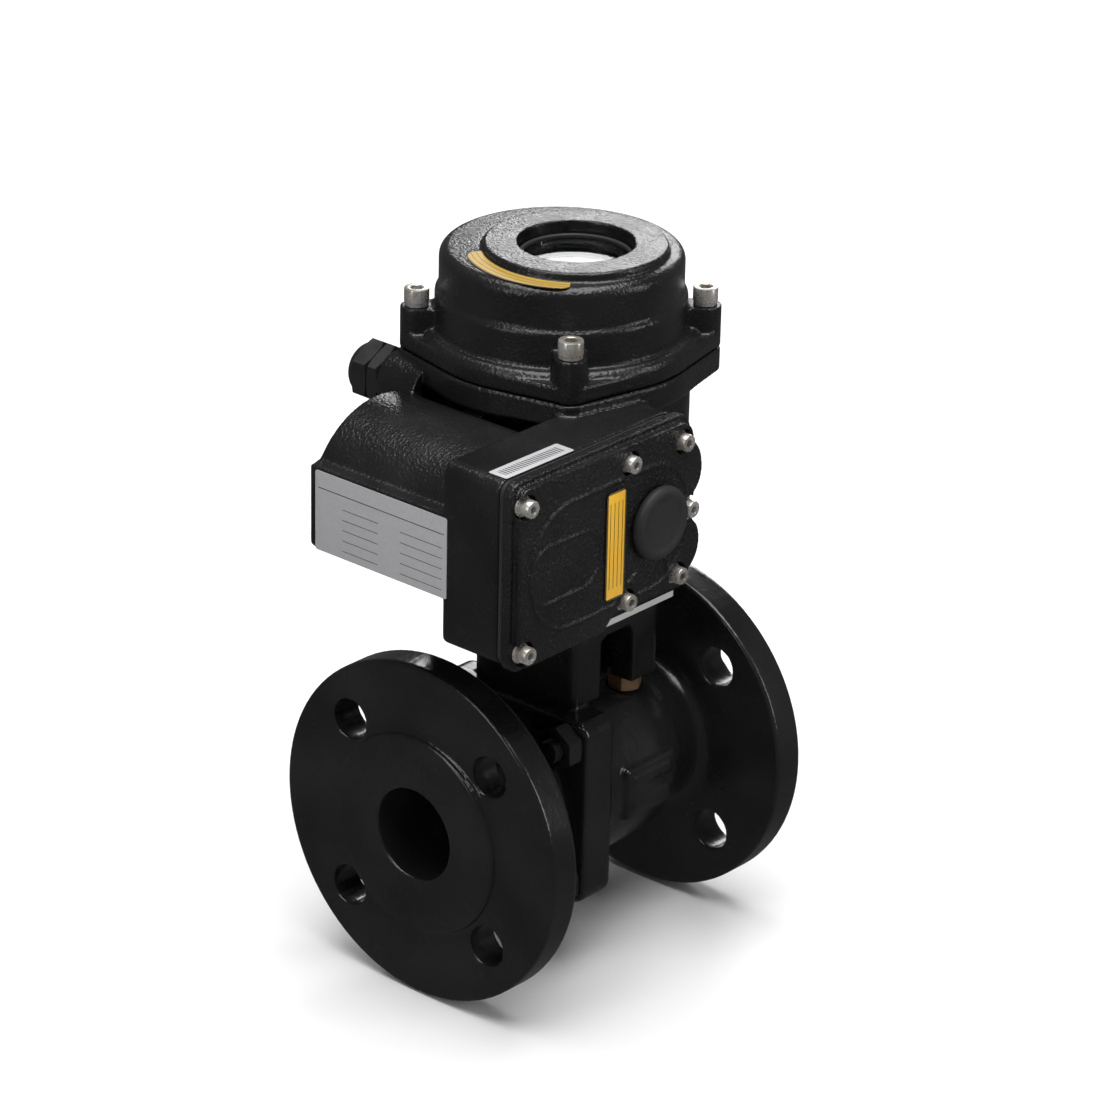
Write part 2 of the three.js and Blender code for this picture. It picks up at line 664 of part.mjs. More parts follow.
// Rubber cap: a domed disc with a plug that seats in the cover's hole.
function overrideCap() {
  const y0 = COVER_FACE_Y - GAP;
  return join(
    cylinderY(OVERRIDE_CAP_R - 1.1, y0 - 4, y0 - 3, WORM_X, WORM_Z, ROUND, OVERRIDE_CAP_R),
    cylinderY(OVERRIDE_CAP_R, y0 - 3.001, y0, WORM_X, WORM_Z, ROUND),
    cylinderY(7 - GAP, y0 - 1, COVER_FACE_Y + 3, WORM_X, WORM_Z, MEDIUM),
  );
}

// ---------- lid ----------

function topCover() {
  const arc = [0, 1, 2, 3, 4].map((i) => (i * Math.PI) / 8);
  const outerProfile = [
    [0, LID_Z],
    [RIM_R - 0.5, LID_Z],
    [RIM_R - 0.5, LID_RIM_TOP],
    [RIM_R - 2.5, LID_RIM_TOP + 3.4],
    [DOME_FOOT_R, LID_RIM_TOP + 3.4],
    [DOME_FOOT_R, DOME_LEDGE_Z],
    [DOME_R, DOME_LEDGE_Z + 1.4],
    ...arc.map((a) => [
      DOME_R - DOME_FILLET * (1 - Math.cos(a)),
      DOME_TOP - DOME_FALL - DOME_FILLET * (1 - Math.sin(a)),
    ]),
    [WINDOW_RING_R - 3, DOME_TOP],
    [0, DOME_TOP],
  ];
  const dome = latheZ(outerProfile).translate([0, TOWER_Y, 0]);
  const rim = hull(cylinderZ(RIM_R - 0.5, LID_Z, LID_RIM_TOP, 0, TOWER_Y), ...lugs(LID_Z, LID_RIM_TOP));
  const ring = join(
    cylinderZ(WINDOW_RING_R, DOME_TOP - 1, WINDOW_RING_TOP - 0.8),
    cylinderZ(WINDOW_RING_R, WINDOW_RING_TOP - 0.801, WINDOW_RING_TOP, 0, 0, ROUND, WINDOW_RING_R - 0.8),
  );
  const boltRooms = corners(LUG_OFFSET).map(([x, y]) => (
    cylinderZ(7.4, LUG_TOP - 0.01, LUG_TOP + 16, x * 1.02, y * 1.02 + TOWER_Y, SMALL)
  ));
  const room = join(
    cylinderZ(DOME_R - 4, LID_Z - 1, DOME_TOP - 4, 0, TOWER_Y),
    cylinderZ(WINDOW_R, LID_Z, WINDOW_RING_TOP + 1, 0, 0, ROUND),
  );
  return cut(
    join(dome, rim, ring, ...lugs(LID_Z, LUG_TOP)),
    room,
    ...boltRooms,
    ...lidBoltHoles(LID_Z - 1, LUG_TOP + 1),
  ).add(windowWell());
}

// The short tube under the window, with the ledge that carries the glass.
function windowWell() {
  return cut(
    cylinderZ(WINDOW_R + 3.8, 223.4, DOME_TOP - 3.5),
    cylinderZ(WINDOW_R - 2.6, 223, DOME_TOP),
    cylinderZ(WINDOW_R, 226.2, DOME_TOP),
  );
}

function windowGlass() {
  return cylinderZ(WINDOW_R - GAP, 226.5, 229, 0, 0, ROUND);
}

function windowSeal() {
  return cut(
    cylinderZ(WINDOW_R - GAP, 229.3, 230.8, 0, 0, ROUND),
    cylinderZ(WINDOW_R - 2, 229, 231, 0, 0, ROUND),
  );
}

function lidSeal() {
  return cut(
    cylinderZ(DOME_FOOT_R + 2, PARTING_Z + 0.1, LID_Z - 0.1, 0, TOWER_Y, ROUND),
    cylinderZ(DOME_FOOT_R - 2.5, PARTING_Z, LID_Z, 0, TOWER_Y, ROUND),
  );
}

// Socket-head bolt with spring washer, head up.
function lidBolt([x, y]) {
  const seat = LUG_TOP + GAP;
  const atY = y + TOWER_Y;
  return join(
    cylinderZ(5, seat, seat + 1.4, x, atY, SMALL),
    cut(cylinderZ(5.2, seat + 1.3, seat + 7.4, x, atY, SMALL), extrudeZ(hexagon(5, x, atY), seat + 4.2, seat + 8)),
    cylinderZ(LID_BOLT_R, LID_BOLT_END_Z, seat + 2, x, atY, SHANK),
  );
}

// ---------- drive ----------

const WORM_LEAD = Math.PI * WHEEL_MODULE;

function idlerCentre() {
  const dx = MOTOR_X - WORM_X;
  const dz = MOTOR_Z - WORM_Z;
  const between = Math.hypot(dx, dz);
  const near = (SPUR_MODULE * (WORM_GEAR_TEETH + IDLER_TEETH)) / 2;
  const far = (SPUR_MODULE * (IDLER_TEETH + PINION_TEETH)) / 2;
  const along = (near * near - far * far + between * between) / (2 * between);
  const aside = Math.sqrt(Math.max(near * near - along * along, 0));
  return {
    x: WORM_X + (dx * along + dz * aside) / between,
    z: WORM_Z + (dz * along - dx * aside) / between,
  };
}

// Tooth angles at rest, so that each pair of gears is in mesh.
function gearPhases() {
  const idler = idlerCentre();
  const toIdler = Math.atan2(idler.z - WORM_Z, idler.x - WORM_X);
  const toPinion = Math.atan2(MOTOR_Z - idler.z, MOTOR_X - idler.x);
  const idlerPhase = toIdler + Math.PI + Math.PI / IDLER_TEETH;
  const pitch = (2 * Math.PI) / IDLER_TEETH;
  const lag = (((toPinion - idlerPhase) % pitch) + pitch) % pitch;
  const pinionPhase = toPinion + Math.PI + (lag * IDLER_TEETH) / PINION_TEETH + Math.PI / PINION_TEETH;
  return { wormGear: toIdler, idler: idlerPhase, pinion: pinionPhase };
}

function spur(teeth, phase, cx, cz) {
  const shape = gearShape(teeth, SPUR_MODULE, phase, 0.72, 0.95, 0.2, 0.62);
  return extrudeY(shape, SPUR_Y, SPUR_Y + SPUR_T).translate([cx, 0, cz]);
}

function outputShaft() {
  const half = STEM_SQUARE / 2 + GAP;
  return cut(
    join(
      cylinderZ(SHAFT_R, 84.5, SHAFT_SHOULDER_Z, 0, 0, MEDIUM),
      cylinderZ(SHAFT_NECK_R, SHAFT_SHOULDER_Z - 1, 219, 0, 0, SMALL),
    ),
    box(-half, half, -half, half, 80, STEM_TOP + 2),
  );
}

function lowerBush() {
  return cut(
    cylinderZ(16, HOUSING_Z + 0.5, FLOOR_Z, 0, 0, MEDIUM),
    cylinderZ(SHAFT_R + GAP, HOUSING_Z, FLOOR_Z + 1, 0, 0, MEDIUM),
  );
}

function wormWheel() {
  const shape = gearShape(WHEEL_TEETH, WHEEL_MODULE, Math.PI, 1.4, 1.8, 0.5, 1.15);
  return cut(
    extrudeZ(shape, WORM_Z - 5.5, WORM_Z + 5.5),
    cylinderZ(SHAFT_R + GAP, WORM_Z - 7, WORM_Z + 7, 0, 0, MEDIUM),
  );
}

// The thread is a cylinder whose surface rises and falls along one helix.
function wormThread() {
  const stepsPerTurn = 6;
  const around = 12;
  const steps = Math.round(((2 * WORM_HALF) / WORM_LEAD) * stepsPerTurn);
  const geometry = new THREE.CylinderGeometry(WORM_TIP_R, WORM_TIP_R, 2 * WORM_HALF, around, steps);
  const position = geometry.attributes.position;
  for (let i = 0; i < position.count; i += 1) {
    const x = position.getX(i);
    const y = position.getY(i);
    const z = position.getZ(i);
    const r = Math.hypot(x, z);
    if (r < 1e-6) continue;
    const turn = Math.atan2(-z, x) / (2 * Math.PI);
    const offset = y / WORM_LEAD - turn - 0.5;
    const fromThread = Math.abs(offset - Math.round(offset)) * WORM_LEAD;
    const rise = THREE.MathUtils.clamp((1.25 - fromThread) / 0.75, 0, 1);
    const atEnd = Math.abs(Math.abs(y) - WORM_HALF) < 1e-3;
    const scale = (WORM_ROOT_R + (atEnd ? 0 : rise) * (WORM_TIP_R - WORM_ROOT_R)) / r;
    position.setX(i, x * scale);
    position.setZ(i, z * scale);
  }
  return solid(geometry).translate([WORM_X, 0, WORM_Z]);
}

function wormShaft() {
  return cut(
    join(
      wormThread(),
      cylinderY(4, -68, -WORM_HALF + 1, WORM_X, WORM_Z, SMALL),
      cylinderY(4, WORM_HALF - 1, 38.5, WORM_X, WORM_Z, SMALL),
    ),
    extrudeY(hexagon(5, WORM_X, WORM_Z), -69, -62),
  );
}

function wormBearing(y0, y1) {
  return cut(
    cylinderY(8, y0, y1, WORM_X, WORM_Z, MEDIUM),
    cylinderY(4 + GAP, y0 - 1, y1 + 1, WORM_X, WORM_Z, SMALL),
  );
}

function wormGear() {
  return cut(
    spur(WORM_GEAR_TEETH, gearPhases().wormGear, WORM_X, WORM_Z),
    cylinderY(4 + GAP, SPUR_Y - 1, SPUR_Y + SPUR_T + 1, WORM_X, WORM_Z, SMALL),
  );
}

function idlerGear() {
  const idler = idlerCentre();
  return join(
    spur(IDLER_TEETH, gearPhases().idler, idler.x, idler.z),
    cylinderY(2.9, SPUR_Y + 1, -36.5, idler.x, idler.z, SMALL),
  );
}

function motorPinion() {
  return join(
    spur(PINION_TEETH, gearPhases().pinion, MOTOR_X, MOTOR_Z),
    cylinderY(2, SPUR_Y + 1, -30, MOTOR_X, MOTOR_Z, SMALL),
  );
}

function motor() {
  const idler = idlerCentre();
  return cut(
    join(
      cylinderY(MOTOR_FLANGE_R, CASE_FLOOR_Y + 1, -34 - GAP, MOTOR_X, MOTOR_Z, ROUND),
      cylinderY(MOTOR_R, -35, MOTOR_BACK_Y, MOTOR_X, MOTOR_Z, ROUND),
      cylinderY(6, MOTOR_BACK_Y - 1, MOTOR_BACK_Y + 3, MOTOR_X, MOTOR_Z, SMALL),
    ),
    cylinderY(2 + GAP, CASE_FLOOR_Y, -29, MOTOR_X, MOTOR_Z, SMALL),
    cylinderY(2.9 + GAP, CASE_FLOOR_Y, -36, idler.x, idler.z, SMALL),
  );
}

// Switch deck: a plate across the tower with the output shaft through it.
function switchPlate() {
  return cut(
    extrudeZ(roundedSquare(0, TOWER_Y, 34, 8), DECK_Z, DECK_Z + 2, 3),
    cylinderZ(SHAFT_NECK_R + 1, 172, 176, 0, 0, SMALL),
    box(-36, -24, 20, 48, 172, 176),
  );
}

function limitCam(z0, angle) {
  const shape = new THREE.Shape();
  shape.absarc(0, 0, 10.5, 0.5, 2 * Math.PI - 0.5, false);
  shape.lineTo(13.5 * Math.cos(-0.3), 13.5 * Math.sin(-0.3));
  shape.lineTo(13.5 * Math.cos(0.3), 13.5 * Math.sin(0.3));
  const disc = extrudeZ(shape, z0, z0 + CAM_T, 20).rotate([0, 0, angle]);
  return cut(disc, cylinderZ(SHAFT_NECK_R + GAP, z0 - 1, z0 + CAM_T + 1, 0, 0, SMALL));
}

// Microswitch standing on the deck, with its button facing the cam at camZ. side is 1 on +X, -1 on -X.
function limitSwitch(side, camZ) {
  const span = (near, far) => (side > 0 ? [near, far] : [-far, -near]);
  return join(
    box(...span(SWITCH_X, SWITCH_X + 10), -14, 6, DECK_Z + 2 + GAP, camZ + 5.5),
    box(...span(SWITCH_X - 0.7, SWITCH_X + 0.1), -6, -2, camZ + 0.5, camZ + CAM_T - 0.5),
  );
}

function terminalBlock() {
  const block = box(-22, 22, 30, 40, 175.3, 187);
  const slots = [-15, -9, -3, 3, 9, 15].map((x) => cylinderZ(1.8, 182, 188, x, 35, SHANK));
  return cut(block, ...slots);
}

function indicatorDial() {
  return join(
    cylinderZ(20.5, 221, 222.4, 0, 0, ROUND),
    cut(cylinderZ(8.5, 212, 221.5, 0, 0, SMALL), cylinderZ(SHAFT_NECK_R + GAP, 211, 219.5, 0, 0, SMALL)),
  );
}

// ---------- cable gland ----------

function cableGlandBody() {
  return cut(
    join(
      cylinderY(6.6, GLAND_Y - 14, GLAND_Y + 1, GLAND_X, GLAND_Z, SMALL),
      extrudeY(hexagon(24, GLAND_X, GLAND_Z, Math.PI / 6), GLAND_Y + GAP, GLAND_Y + 6),
      cylinderY(8, GLAND_Y + 5, GLAND_Y + 16, GLAND_X, GLAND_Z, SMALL),
    ),
    cylinderY(5, GLAND_Y - 15, GLAND_Y + 17, GLAND_X, GLAND_Z, SMALL),
  );
}

function cableGlandNut() {
  const y0 = GLAND_Y + 6.5;
  return cut(
    join(
      extrudeY(hexagon(24, GLAND_X, GLAND_Z, Math.PI / 6), y0, y0 + 8),
      cylinderY(11.6, y0 + 7.9, y0 + 13, GLAND_X, GLAND_Z, 32, 8),
    ),
    cylinderY(8 + GAP, y0 - 1, GLAND_Y + 16.4, GLAND_X, GLAND_Z, SMALL),
    cylinderY(5.4, y0, y0 + 14, GLAND_X, GLAND_Z, SMALL),
  );
}

// ---------- the assembly ----------

const actuator = new THREE.Group();

function addPart(name, manifold, material) {
  const mesh = new THREE.Mesh(geometryOf(manifold), material);
  mesh.name = name;
  actuator.add(mesh);
}

addPart('end_cap', endCap(), CAST_PAINT);
addPart('valve_body', valveBody(), CAST_PAINT);
addPart('body_gasket', bodyGasket(), RUBBER);
addPart('seat_ring_inlet', seatRing(-1), SEAT_WHITE);
addPart('seat_ring_outlet', seatRing(1), SEAT_WHITE);
addPart('ball', ball(), STEEL);
addPart('valve_stem', valveStem(), STEEL);
addPart('stem_packing', stemPacking(), SEAT_WHITE);
addPart('gland_nut', glandNut(), DARK_STEEL);
corners(STUD_OFFSET).forEach((at, i) => {
  addPart(`body_stud_${i + 1}`, bodyStud(at), DARK_STEEL);
  addPart(`body_nut_${i + 1}`, bodyNut(at), DARK_STEEL);
});
corners(BASE_BOLT_OFFSET).forEach((at, i) => {
  addPart(`base_bolt_${i + 1}`, baseBolt(at), ZINC_YELLOW);
});
addPart('adapter_plate', adapterPlate(), BARE_ALUMINIUM);

addPart('housing', housing(), HOUSING_PAINT);
addPart('gear_cover_gasket', gearCoverGasket(), RUBBER);
addPart('gear_cover', gearCover(), HOUSING_PAINT);
COVER_SCREWS.forEach((screw) => addPart(`cover_screw_${screw[0]}`, coverScrew(screw), STEEL));
addPart('override_cap', overrideCap(), RUBBER);
addPart('top_cover', topCover(), HOUSING_PAINT);
addPart('top_cover_seal', lidSeal(), RUBBER);
addPart('window_glass', windowGlass(), GLASS);
addPart('window_seal', windowSeal(), RUBBER);
corners(LUG_OFFSET).forEach((at, i) => addPart(`lid_bolt_${i + 1}`, lidBolt(at), STEEL));

addPart('output_shaft', outputShaft(), STEEL);
addPart('lower_bush', lowerBush(), BRONZE);
addPart('worm_wheel', wormWheel(), BRONZE);
addPart('worm_shaft', wormShaft(), STEEL);
addPart('worm_bearing_front', wormBearing(CASE_FLOOR_Y + 0.5, -33 - GAP), STEEL);
addPart('worm_bearing_rear', wormBearing(33, 39), STEEL);
addPart('worm_gear', wormGear(), BRONZE);
addPart('idler_gear', idlerGear(), STEEL);
addPart('motor_pinion', motorPinion(), STEEL);
addPart('motor', motor(), DARK_STEEL);
addPart('switch_plate', switchPlate(), BARE_ALUMINIUM);
addPart('limit_cam_open', limitCam(CAM_OPEN_Z, 0), CAM_RED);
addPart('limit_cam_closed', limitCam(CAM_CLOSED_Z, 90), CAM_RED);
addPart('limit_switch_open', limitSwitch(1, CAM_OPEN_Z), BLACK_PLASTIC);
addPart('limit_switch_closed', limitSwitch(-1, CAM_CLOSED_Z), BLACK_PLASTIC);
addPart('terminal_block', terminalBlock(), BOARD_GREEN);
addPart('indicator_dial', indicatorDial(), DIAL_WHITE);
addPart('cable_gland_body', cableGlandBody(), BLACK_PLASTIC);
addPart('cable_gland_nut', cableGlandNut(), BLACK_PLASTIC);

export default actuator;
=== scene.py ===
import math

import bmesh
import bpy
from mathutils import Matrix, Vector
from mathutils.geometry import convex_hull_2d


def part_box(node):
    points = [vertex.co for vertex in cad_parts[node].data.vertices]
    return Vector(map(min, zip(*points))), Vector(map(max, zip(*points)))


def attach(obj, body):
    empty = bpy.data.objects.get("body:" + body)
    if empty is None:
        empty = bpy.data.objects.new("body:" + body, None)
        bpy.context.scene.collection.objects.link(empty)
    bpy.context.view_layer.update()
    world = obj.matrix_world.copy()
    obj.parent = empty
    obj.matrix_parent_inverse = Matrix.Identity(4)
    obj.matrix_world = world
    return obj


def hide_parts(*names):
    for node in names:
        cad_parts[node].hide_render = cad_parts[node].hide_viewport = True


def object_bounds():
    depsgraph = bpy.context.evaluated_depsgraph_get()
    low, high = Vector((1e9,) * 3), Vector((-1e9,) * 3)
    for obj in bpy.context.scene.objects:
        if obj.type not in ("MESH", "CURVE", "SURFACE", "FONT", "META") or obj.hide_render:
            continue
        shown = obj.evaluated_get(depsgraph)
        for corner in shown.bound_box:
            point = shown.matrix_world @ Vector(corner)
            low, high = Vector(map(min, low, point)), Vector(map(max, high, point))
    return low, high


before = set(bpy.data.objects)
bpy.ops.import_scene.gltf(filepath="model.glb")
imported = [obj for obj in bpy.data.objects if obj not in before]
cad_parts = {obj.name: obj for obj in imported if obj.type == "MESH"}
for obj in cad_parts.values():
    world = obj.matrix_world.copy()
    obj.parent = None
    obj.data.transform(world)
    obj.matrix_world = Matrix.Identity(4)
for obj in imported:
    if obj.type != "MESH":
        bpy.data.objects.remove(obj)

CAD_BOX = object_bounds()
MM = 0.001
FULL_TURN = 2 * math.pi
WELD = 1e-4  # points closer than this become one
ON_AXIS = 1e-6  # a radius smaller than this is on the axis
CAST_KEEP = 0.35  # share of a casting's triangles that is kept

# ---------- camera ----------

AIM = Vector((0.01845, 0.02066, 0.08142))
AZIMUTH = math.radians(-49.154)
ELEVATION = math.radians(24.177)
ROLL = math.radians(1.3)
DISTANCE = 2.00764
SENSOR = 36.0
LENS = 151.87


def make_camera():
    back = Vector((
        math.sin(AZIMUTH) * math.cos(ELEVATION),
        -math.cos(AZIMUTH) * math.cos(ELEVATION),
        math.sin(ELEVATION),
    ))
    level = Vector((math.cos(AZIMUTH), math.sin(AZIMUTH), 0))
    upright = back.cross(level)
    right = level * math.cos(ROLL) + upright * math.sin(ROLL)
    up = upright * math.cos(ROLL) - level * math.sin(ROLL)
    data = bpy.data.cameras.new("camera")
    data.lens = LENS
    data.sensor_width = SENSOR
    data.clip_end = 50
    camera = bpy.data.objects.new("camera", data)
    turn = Matrix((right, up, back)).transposed().to_4x4()
    camera.matrix_world = Matrix.Translation(AIM + back * DISTANCE) @ turn
    bpy.context.scene.collection.objects.link(camera)
    bpy.context.scene.camera = camera


# ---------- solids, in millimetres ----------


def span(node):
    """Lowest and highest corner of a CAD node, in millimetres."""
    low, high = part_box(node)
    return low / MM, high / MM


def middle(node):
    low, high = span(node)
    return (low + high) / 2


def new_object(points, faces):
    mesh = bpy.data.meshes.new("shape")
    mesh.from_pydata(points, [], faces)
    work = bmesh.new()
    work.from_mesh(mesh)
    bmesh.ops.remove_doubles(work, verts=work.verts, dist=WELD)
    bmesh.ops.recalc_face_normals(work, faces=work.faces)
    work.to_mesh(mesh)
    work.free()
    shape = bpy.data.objects.new("shape", mesh)
    bpy.context.scene.collection.objects.link(shape)
    return shape


def to_axis(axis, a, b, along):
    """Point from two places across the axis and one along it.

    a and b are (y, z) for the X axis, (x, z) for Y and (x, y) for Z.
    """
    return {"X": (along, a, b), "Y": (a, along, b), "Z": (a, b, along)}[axis]


def revolve(profile, axis="Z", a=0.0, b=0.0, facets=96):
    """Solid turned from [radius, place along the axis] points.

    The profile starts and ends on the axis, or else closes on itself.
    """
    closed = profile[0][0] > ON_AXIS or profile[-1][0] > ON_AXIS
    points = []
    rings = []
    for radius, along in profile:
        if radius < ON_AXIS:
            rings.append([len(points)])
            points.append(to_axis(axis, a, b, along))
            continue
        rings.append(list(range(len(points), len(points) + facets)))
        for i in range(facets):
            angle = FULL_TURN * i / facets
            across = (a + radius * math.cos(angle), b + radius * math.sin(angle))
            points.append(to_axis(axis, *across, along))
    pairs = list(zip(rings, rings[1:]))
    if closed:
        pairs.append((rings[-1], rings[0]))
    faces = []
    for first, second in pairs:
        for i in range(facets):
            j = (i + 1) % facets
            quad = [ring[k % len(ring)] for ring, k in ((first, i), (first, j), (second, j), (second, i))]
            quad = [p for k, p in enumerate(quad) if p not in quad[:k]]
            if len(quad) > 2:
                faces.append(quad)
    return new_object(points, faces)


def cylinder(axis, radius, start, end, a=0.0, b=0.0, facets=64):
    return revolve([(0, start), (radius, start), (radius, end), (0, end)], axis, a, b, facets)


def prism(outline, axis, start, end):
    """Solid pushed along an axis from an outline of (a, b) points."""
    count = len(outline)
    points = [to_axis(axis, a, b, along) for along in (start, end) for a, b in outline]
    faces = [list(range(count)), list(range(count, 2 * count))]
    faces += [[i, (i + 1) % count, count + (i + 1) % count, count + i] for i in range(count)]
    return new_object(points, faces)


def block(x0, x1, y0, y1, z0, z1):
    return prism([(x0, y0), (x1, y0), (x1, y1), (x0, y1)], "Z", z0, z1)


def arc(a, b, radius, start, end, steps=8):
    """Points on an arc, angles in degrees."""
    turns = [math.radians(start + (end - start) * i / steps) for i in range(steps + 1)]
    return [(a + radius * math.cos(t), b + radius * math.sin(t)) for t in turns]


def bend(start, control, end, steps=8):
    """Points on a quadratic curve after its start."""
    made = []
    for i in range(1, steps + 1):
        t = i / steps
        made.append(tuple(
            start[k] * (1 - t) ** 2 + 2 * control[k] * t * (1 - t) + end[k] * t * t for k in range(2)
        ))
    return made


def rounded_rect(a0, a1, b0, b1, radius, steps=8):
    return (
        arc(a1 - radius, b0 + radius, radius, -90, 0, steps)
        + arc(a1 - radius, b1 - radius, radius, 0, 90, steps)
        + arc(a0 + radius, b1 - radius, radius, 90, 180, steps)
        + arc(a0 + radius, b0 + radius, radius, 180, 270, steps)
    )


def rounded_square(half, radius):
    return rounded_rect(-half, half, -half, half, radius)


def ball_shape(radius, steps=48):
    return revolve(arc(0, 0, radius, -90, 90, steps), "Z")


def hexagon(across, a, b, turn):
    """Outline of a hexagon with a width across its flats, turned by some degrees."""
    reach = across / math.sqrt(3)
    angles = [math.radians(turn + 60 * i) for i in range(6)]
    return [(a + reach * math.cos(t), b + reach * math.sin(t)) for t in angles]


def settle(shape):
    """Applies the shape's modifiers to its mesh."""
    graph = bpy.context.evaluated_depsgraph_get()
    mesh = bpy.data.meshes.new_from_object(shape.evaluated_get(graph))
    shape.modifiers.clear()
    old = shape.data
    shape.data = mesh
    bpy.data.meshes.remove(old)
    return shape


def combine(base, others, operation):
    for other in others:
        modifier = base.modifiers.new("combine", "BOOLEAN")
        modifier.operation = operation
        modifier.solver = "MANIFOLD"
        modifier.object = other
        settle(base)
        bpy.data.objects.remove(other)
    return base


def join(base, *others):
    return combine(base, others, "UNION")


def cut(base, *others):
    return combine(base, others, "DIFFERENCE")


def cast(shape, voxel, passes=3):
    """Turns a sharp solid into a casting: edges and inner corners are rounded off."""
    remesh = shape.modifiers.new("remesh", "REMESH")
    remesh.mode = "VOXEL"
    remesh.voxel_size = voxel
    smooth = shape.modifiers.new("smooth", "SMOOTH")
    smooth.factor = 0.5
    smooth.iterations = passes
    thin = shape.modifiers.new("thin", "DECIMATE")
    thin.ratio = CAST_KEEP
    return settle(shape)


def chamfer(shape, width, segments=2, angle=30):
    modifier = shape.modifiers.new("edges", "BEVEL")
    modifier.width = width
    modifier.segments = segments
    modifier.limit_method = "ANGLE"
    modifier.angle_limit = math.radians(angle)
    return settle(shape)


def finish_piece(shape, name, body, material, nodes=(), sharp=35):
    """Scales a shape to metres, paints it, puts it under its body and hides the CAD nodes it stands for."""
    shape.name = name
    shape.data.name = name
    shape.data.transform(Matrix.Scale(MM, 4))
    shape.data.materials.clear()
    shape.data.materials.append(material)
    shape.data.shade_smooth()
    shape.data.set_sharp_from_angle(angle=math.radians(sharp))
    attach(shape, body)
    if nodes:
        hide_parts(*nodes)


# ---------- materials ----------


class Surface:
    """A node material with object coordinates in metres, and helpers that add nodes to it."""

    def __init__(self, name):
        self.material = bpy.data.materials.new(name)
        self.material.use_nodes = True
        self.tree = self.material.node_tree
        self.shader = self.tree.nodes["Principled BSDF"]
        self.place = self.tree.nodes.new("ShaderNodeTexCoord").outputs["Object"]

    def put(self, kind, **settings):
        node = self.tree.nodes.new(kind)
        for key, value in settings.items():
            setattr(node, key, value)
        return node

    def link(self, out, into):
        self.tree.links.new(out, into)

    def stretched(self, x, y, z):
        mapping = self.put("ShaderNodeMapping")
        mapping.inputs["Scale"].default_value = (x, y, z)
        self.link(self.place, mapping.inputs["Vector"])
        return mapping.outputs["Vector"]

    def noise(self, scale, detail=2.0, roughness=0.5, where=None):
        node = self.put("ShaderNodeTexNoise")
        node.inputs["Scale"].default_value = scale
        node.inputs["Detail"].default_value = detail
        node.inputs["Roughness"].default_value = roughness
        self.link(where or self.place, node.inputs["Vector"])
        return node.outputs["Fac"]

    def ranged(self, value, low, high, start=0.3, end=0.7):
        node = self.put("ShaderNodeMapRange")
        node.inputs["From Min"].default_value = start
        node.inputs["From Max"].default_value = end
        node.inputs["To Min"].default_value = low
        node.inputs["To Max"].default_value = high
        self.link(value, node.inputs["Value"])
        return node.outputs["Result"]

    def blend(self, share, first, second):
        node = self.put("ShaderNodeMix", data_type="RGBA")
        for socket, color in ((node.inputs[6], first), (node.inputs[7], second)):
            if hasattr(color, "default_value"):
                self.link(color, socket)
            else:
                socket.default_value = (*color, 1)
        self.link(share, node.inputs[0])
        return node.outputs[2]

    def math(self, operation, first, second=0.0):
        node = self.put("ShaderNodeMath", operation=operation)
        for socket, value in zip(node.inputs, (first, second)):
            if hasattr(value, "default_value"):
                self.link(value, socket)
            else:
                socket.default_value = value
        return node.outputs[0]

    def bump(self, layers):
        """Bumps from (height, depth in metres, strength) layers, one on top of the other."""
        normal = None
        for height, depth, strength in layers:
            node = self.put("ShaderNodeBump")
            node.inputs["Distance"].default_value = depth
            node.inputs["Strength"].default_value = strength
            self.link(height, node.inputs["Height"])
            if normal:
                self.link(normal, node.inputs["Normal"])
            normal = node.outputs["Normal"]
        self.link(normal, self.shader.inputs["Normal"])


def paint(name, color, gloss, grain, depth, coat):
    """Sprayed paint: orange peel with so many grains per metre, slow colour drift, small dull specks."""
    s = Surface(name)
    drift = s.noise(22, 3)
    speck = s.noise(1500, 1)
    lighter = tuple(c * 1.7 + 0.004 for c in color)
    base = s.blend(s.ranged(drift, 0, 1), color, lighter)
    specked = s.blend(s.ranged(speck, 0, 0.3, 0.7, 0.78), base, (0.08, 0.08, 0.075))
    s.link(specked, s.shader.inputs["Base Color"])
    s.link(s.ranged(s.noise(60, 4), gloss - 0.05, gloss + 0.09), s.shader.inputs["Roughness"])
    s.shader.inputs["Specular IOR Level"].default_value = 0.44
    s.shader.inputs["Coat Weight"].default_value = coat
    s.shader.inputs["Coat Roughness"].default_value = 0.22
    s.bump([
        (s.noise(grain, 2, 0.45), depth, 0.9),
        (s.noise(grain * 0.2, 1), depth * 0.9, 0.22),
    ])
    return s.material


def metal(name, color, gloss, stretch=(1, 1, 1), scratch=900, stain=None, metallic=1.0):
    s = Surface(name)
    lines = s.noise(scratch, 3, 0.6, s.stretched(*stretch))
    darker = tuple(c * 0.72 for c in color)
    base = s.blend(s.ranged(lines, 0, 1), darker, color)
    if stain:
        base = s.blend(s.ranged(s.noise(140, 3), 0, 0.8, 0.45, 0.62), base, stain)
    s.link(base, s.shader.inputs["Base Color"])
    s.shader.inputs["Metallic"].default_value = metallic
    s.link(s.ranged(s.noise(scratch * 0.5, 4), gloss - 0.06, gloss + 0.12), s.shader.inputs["Roughness"])
    s.bump([(lines, 0.00003, 0.5)])
    return s.material


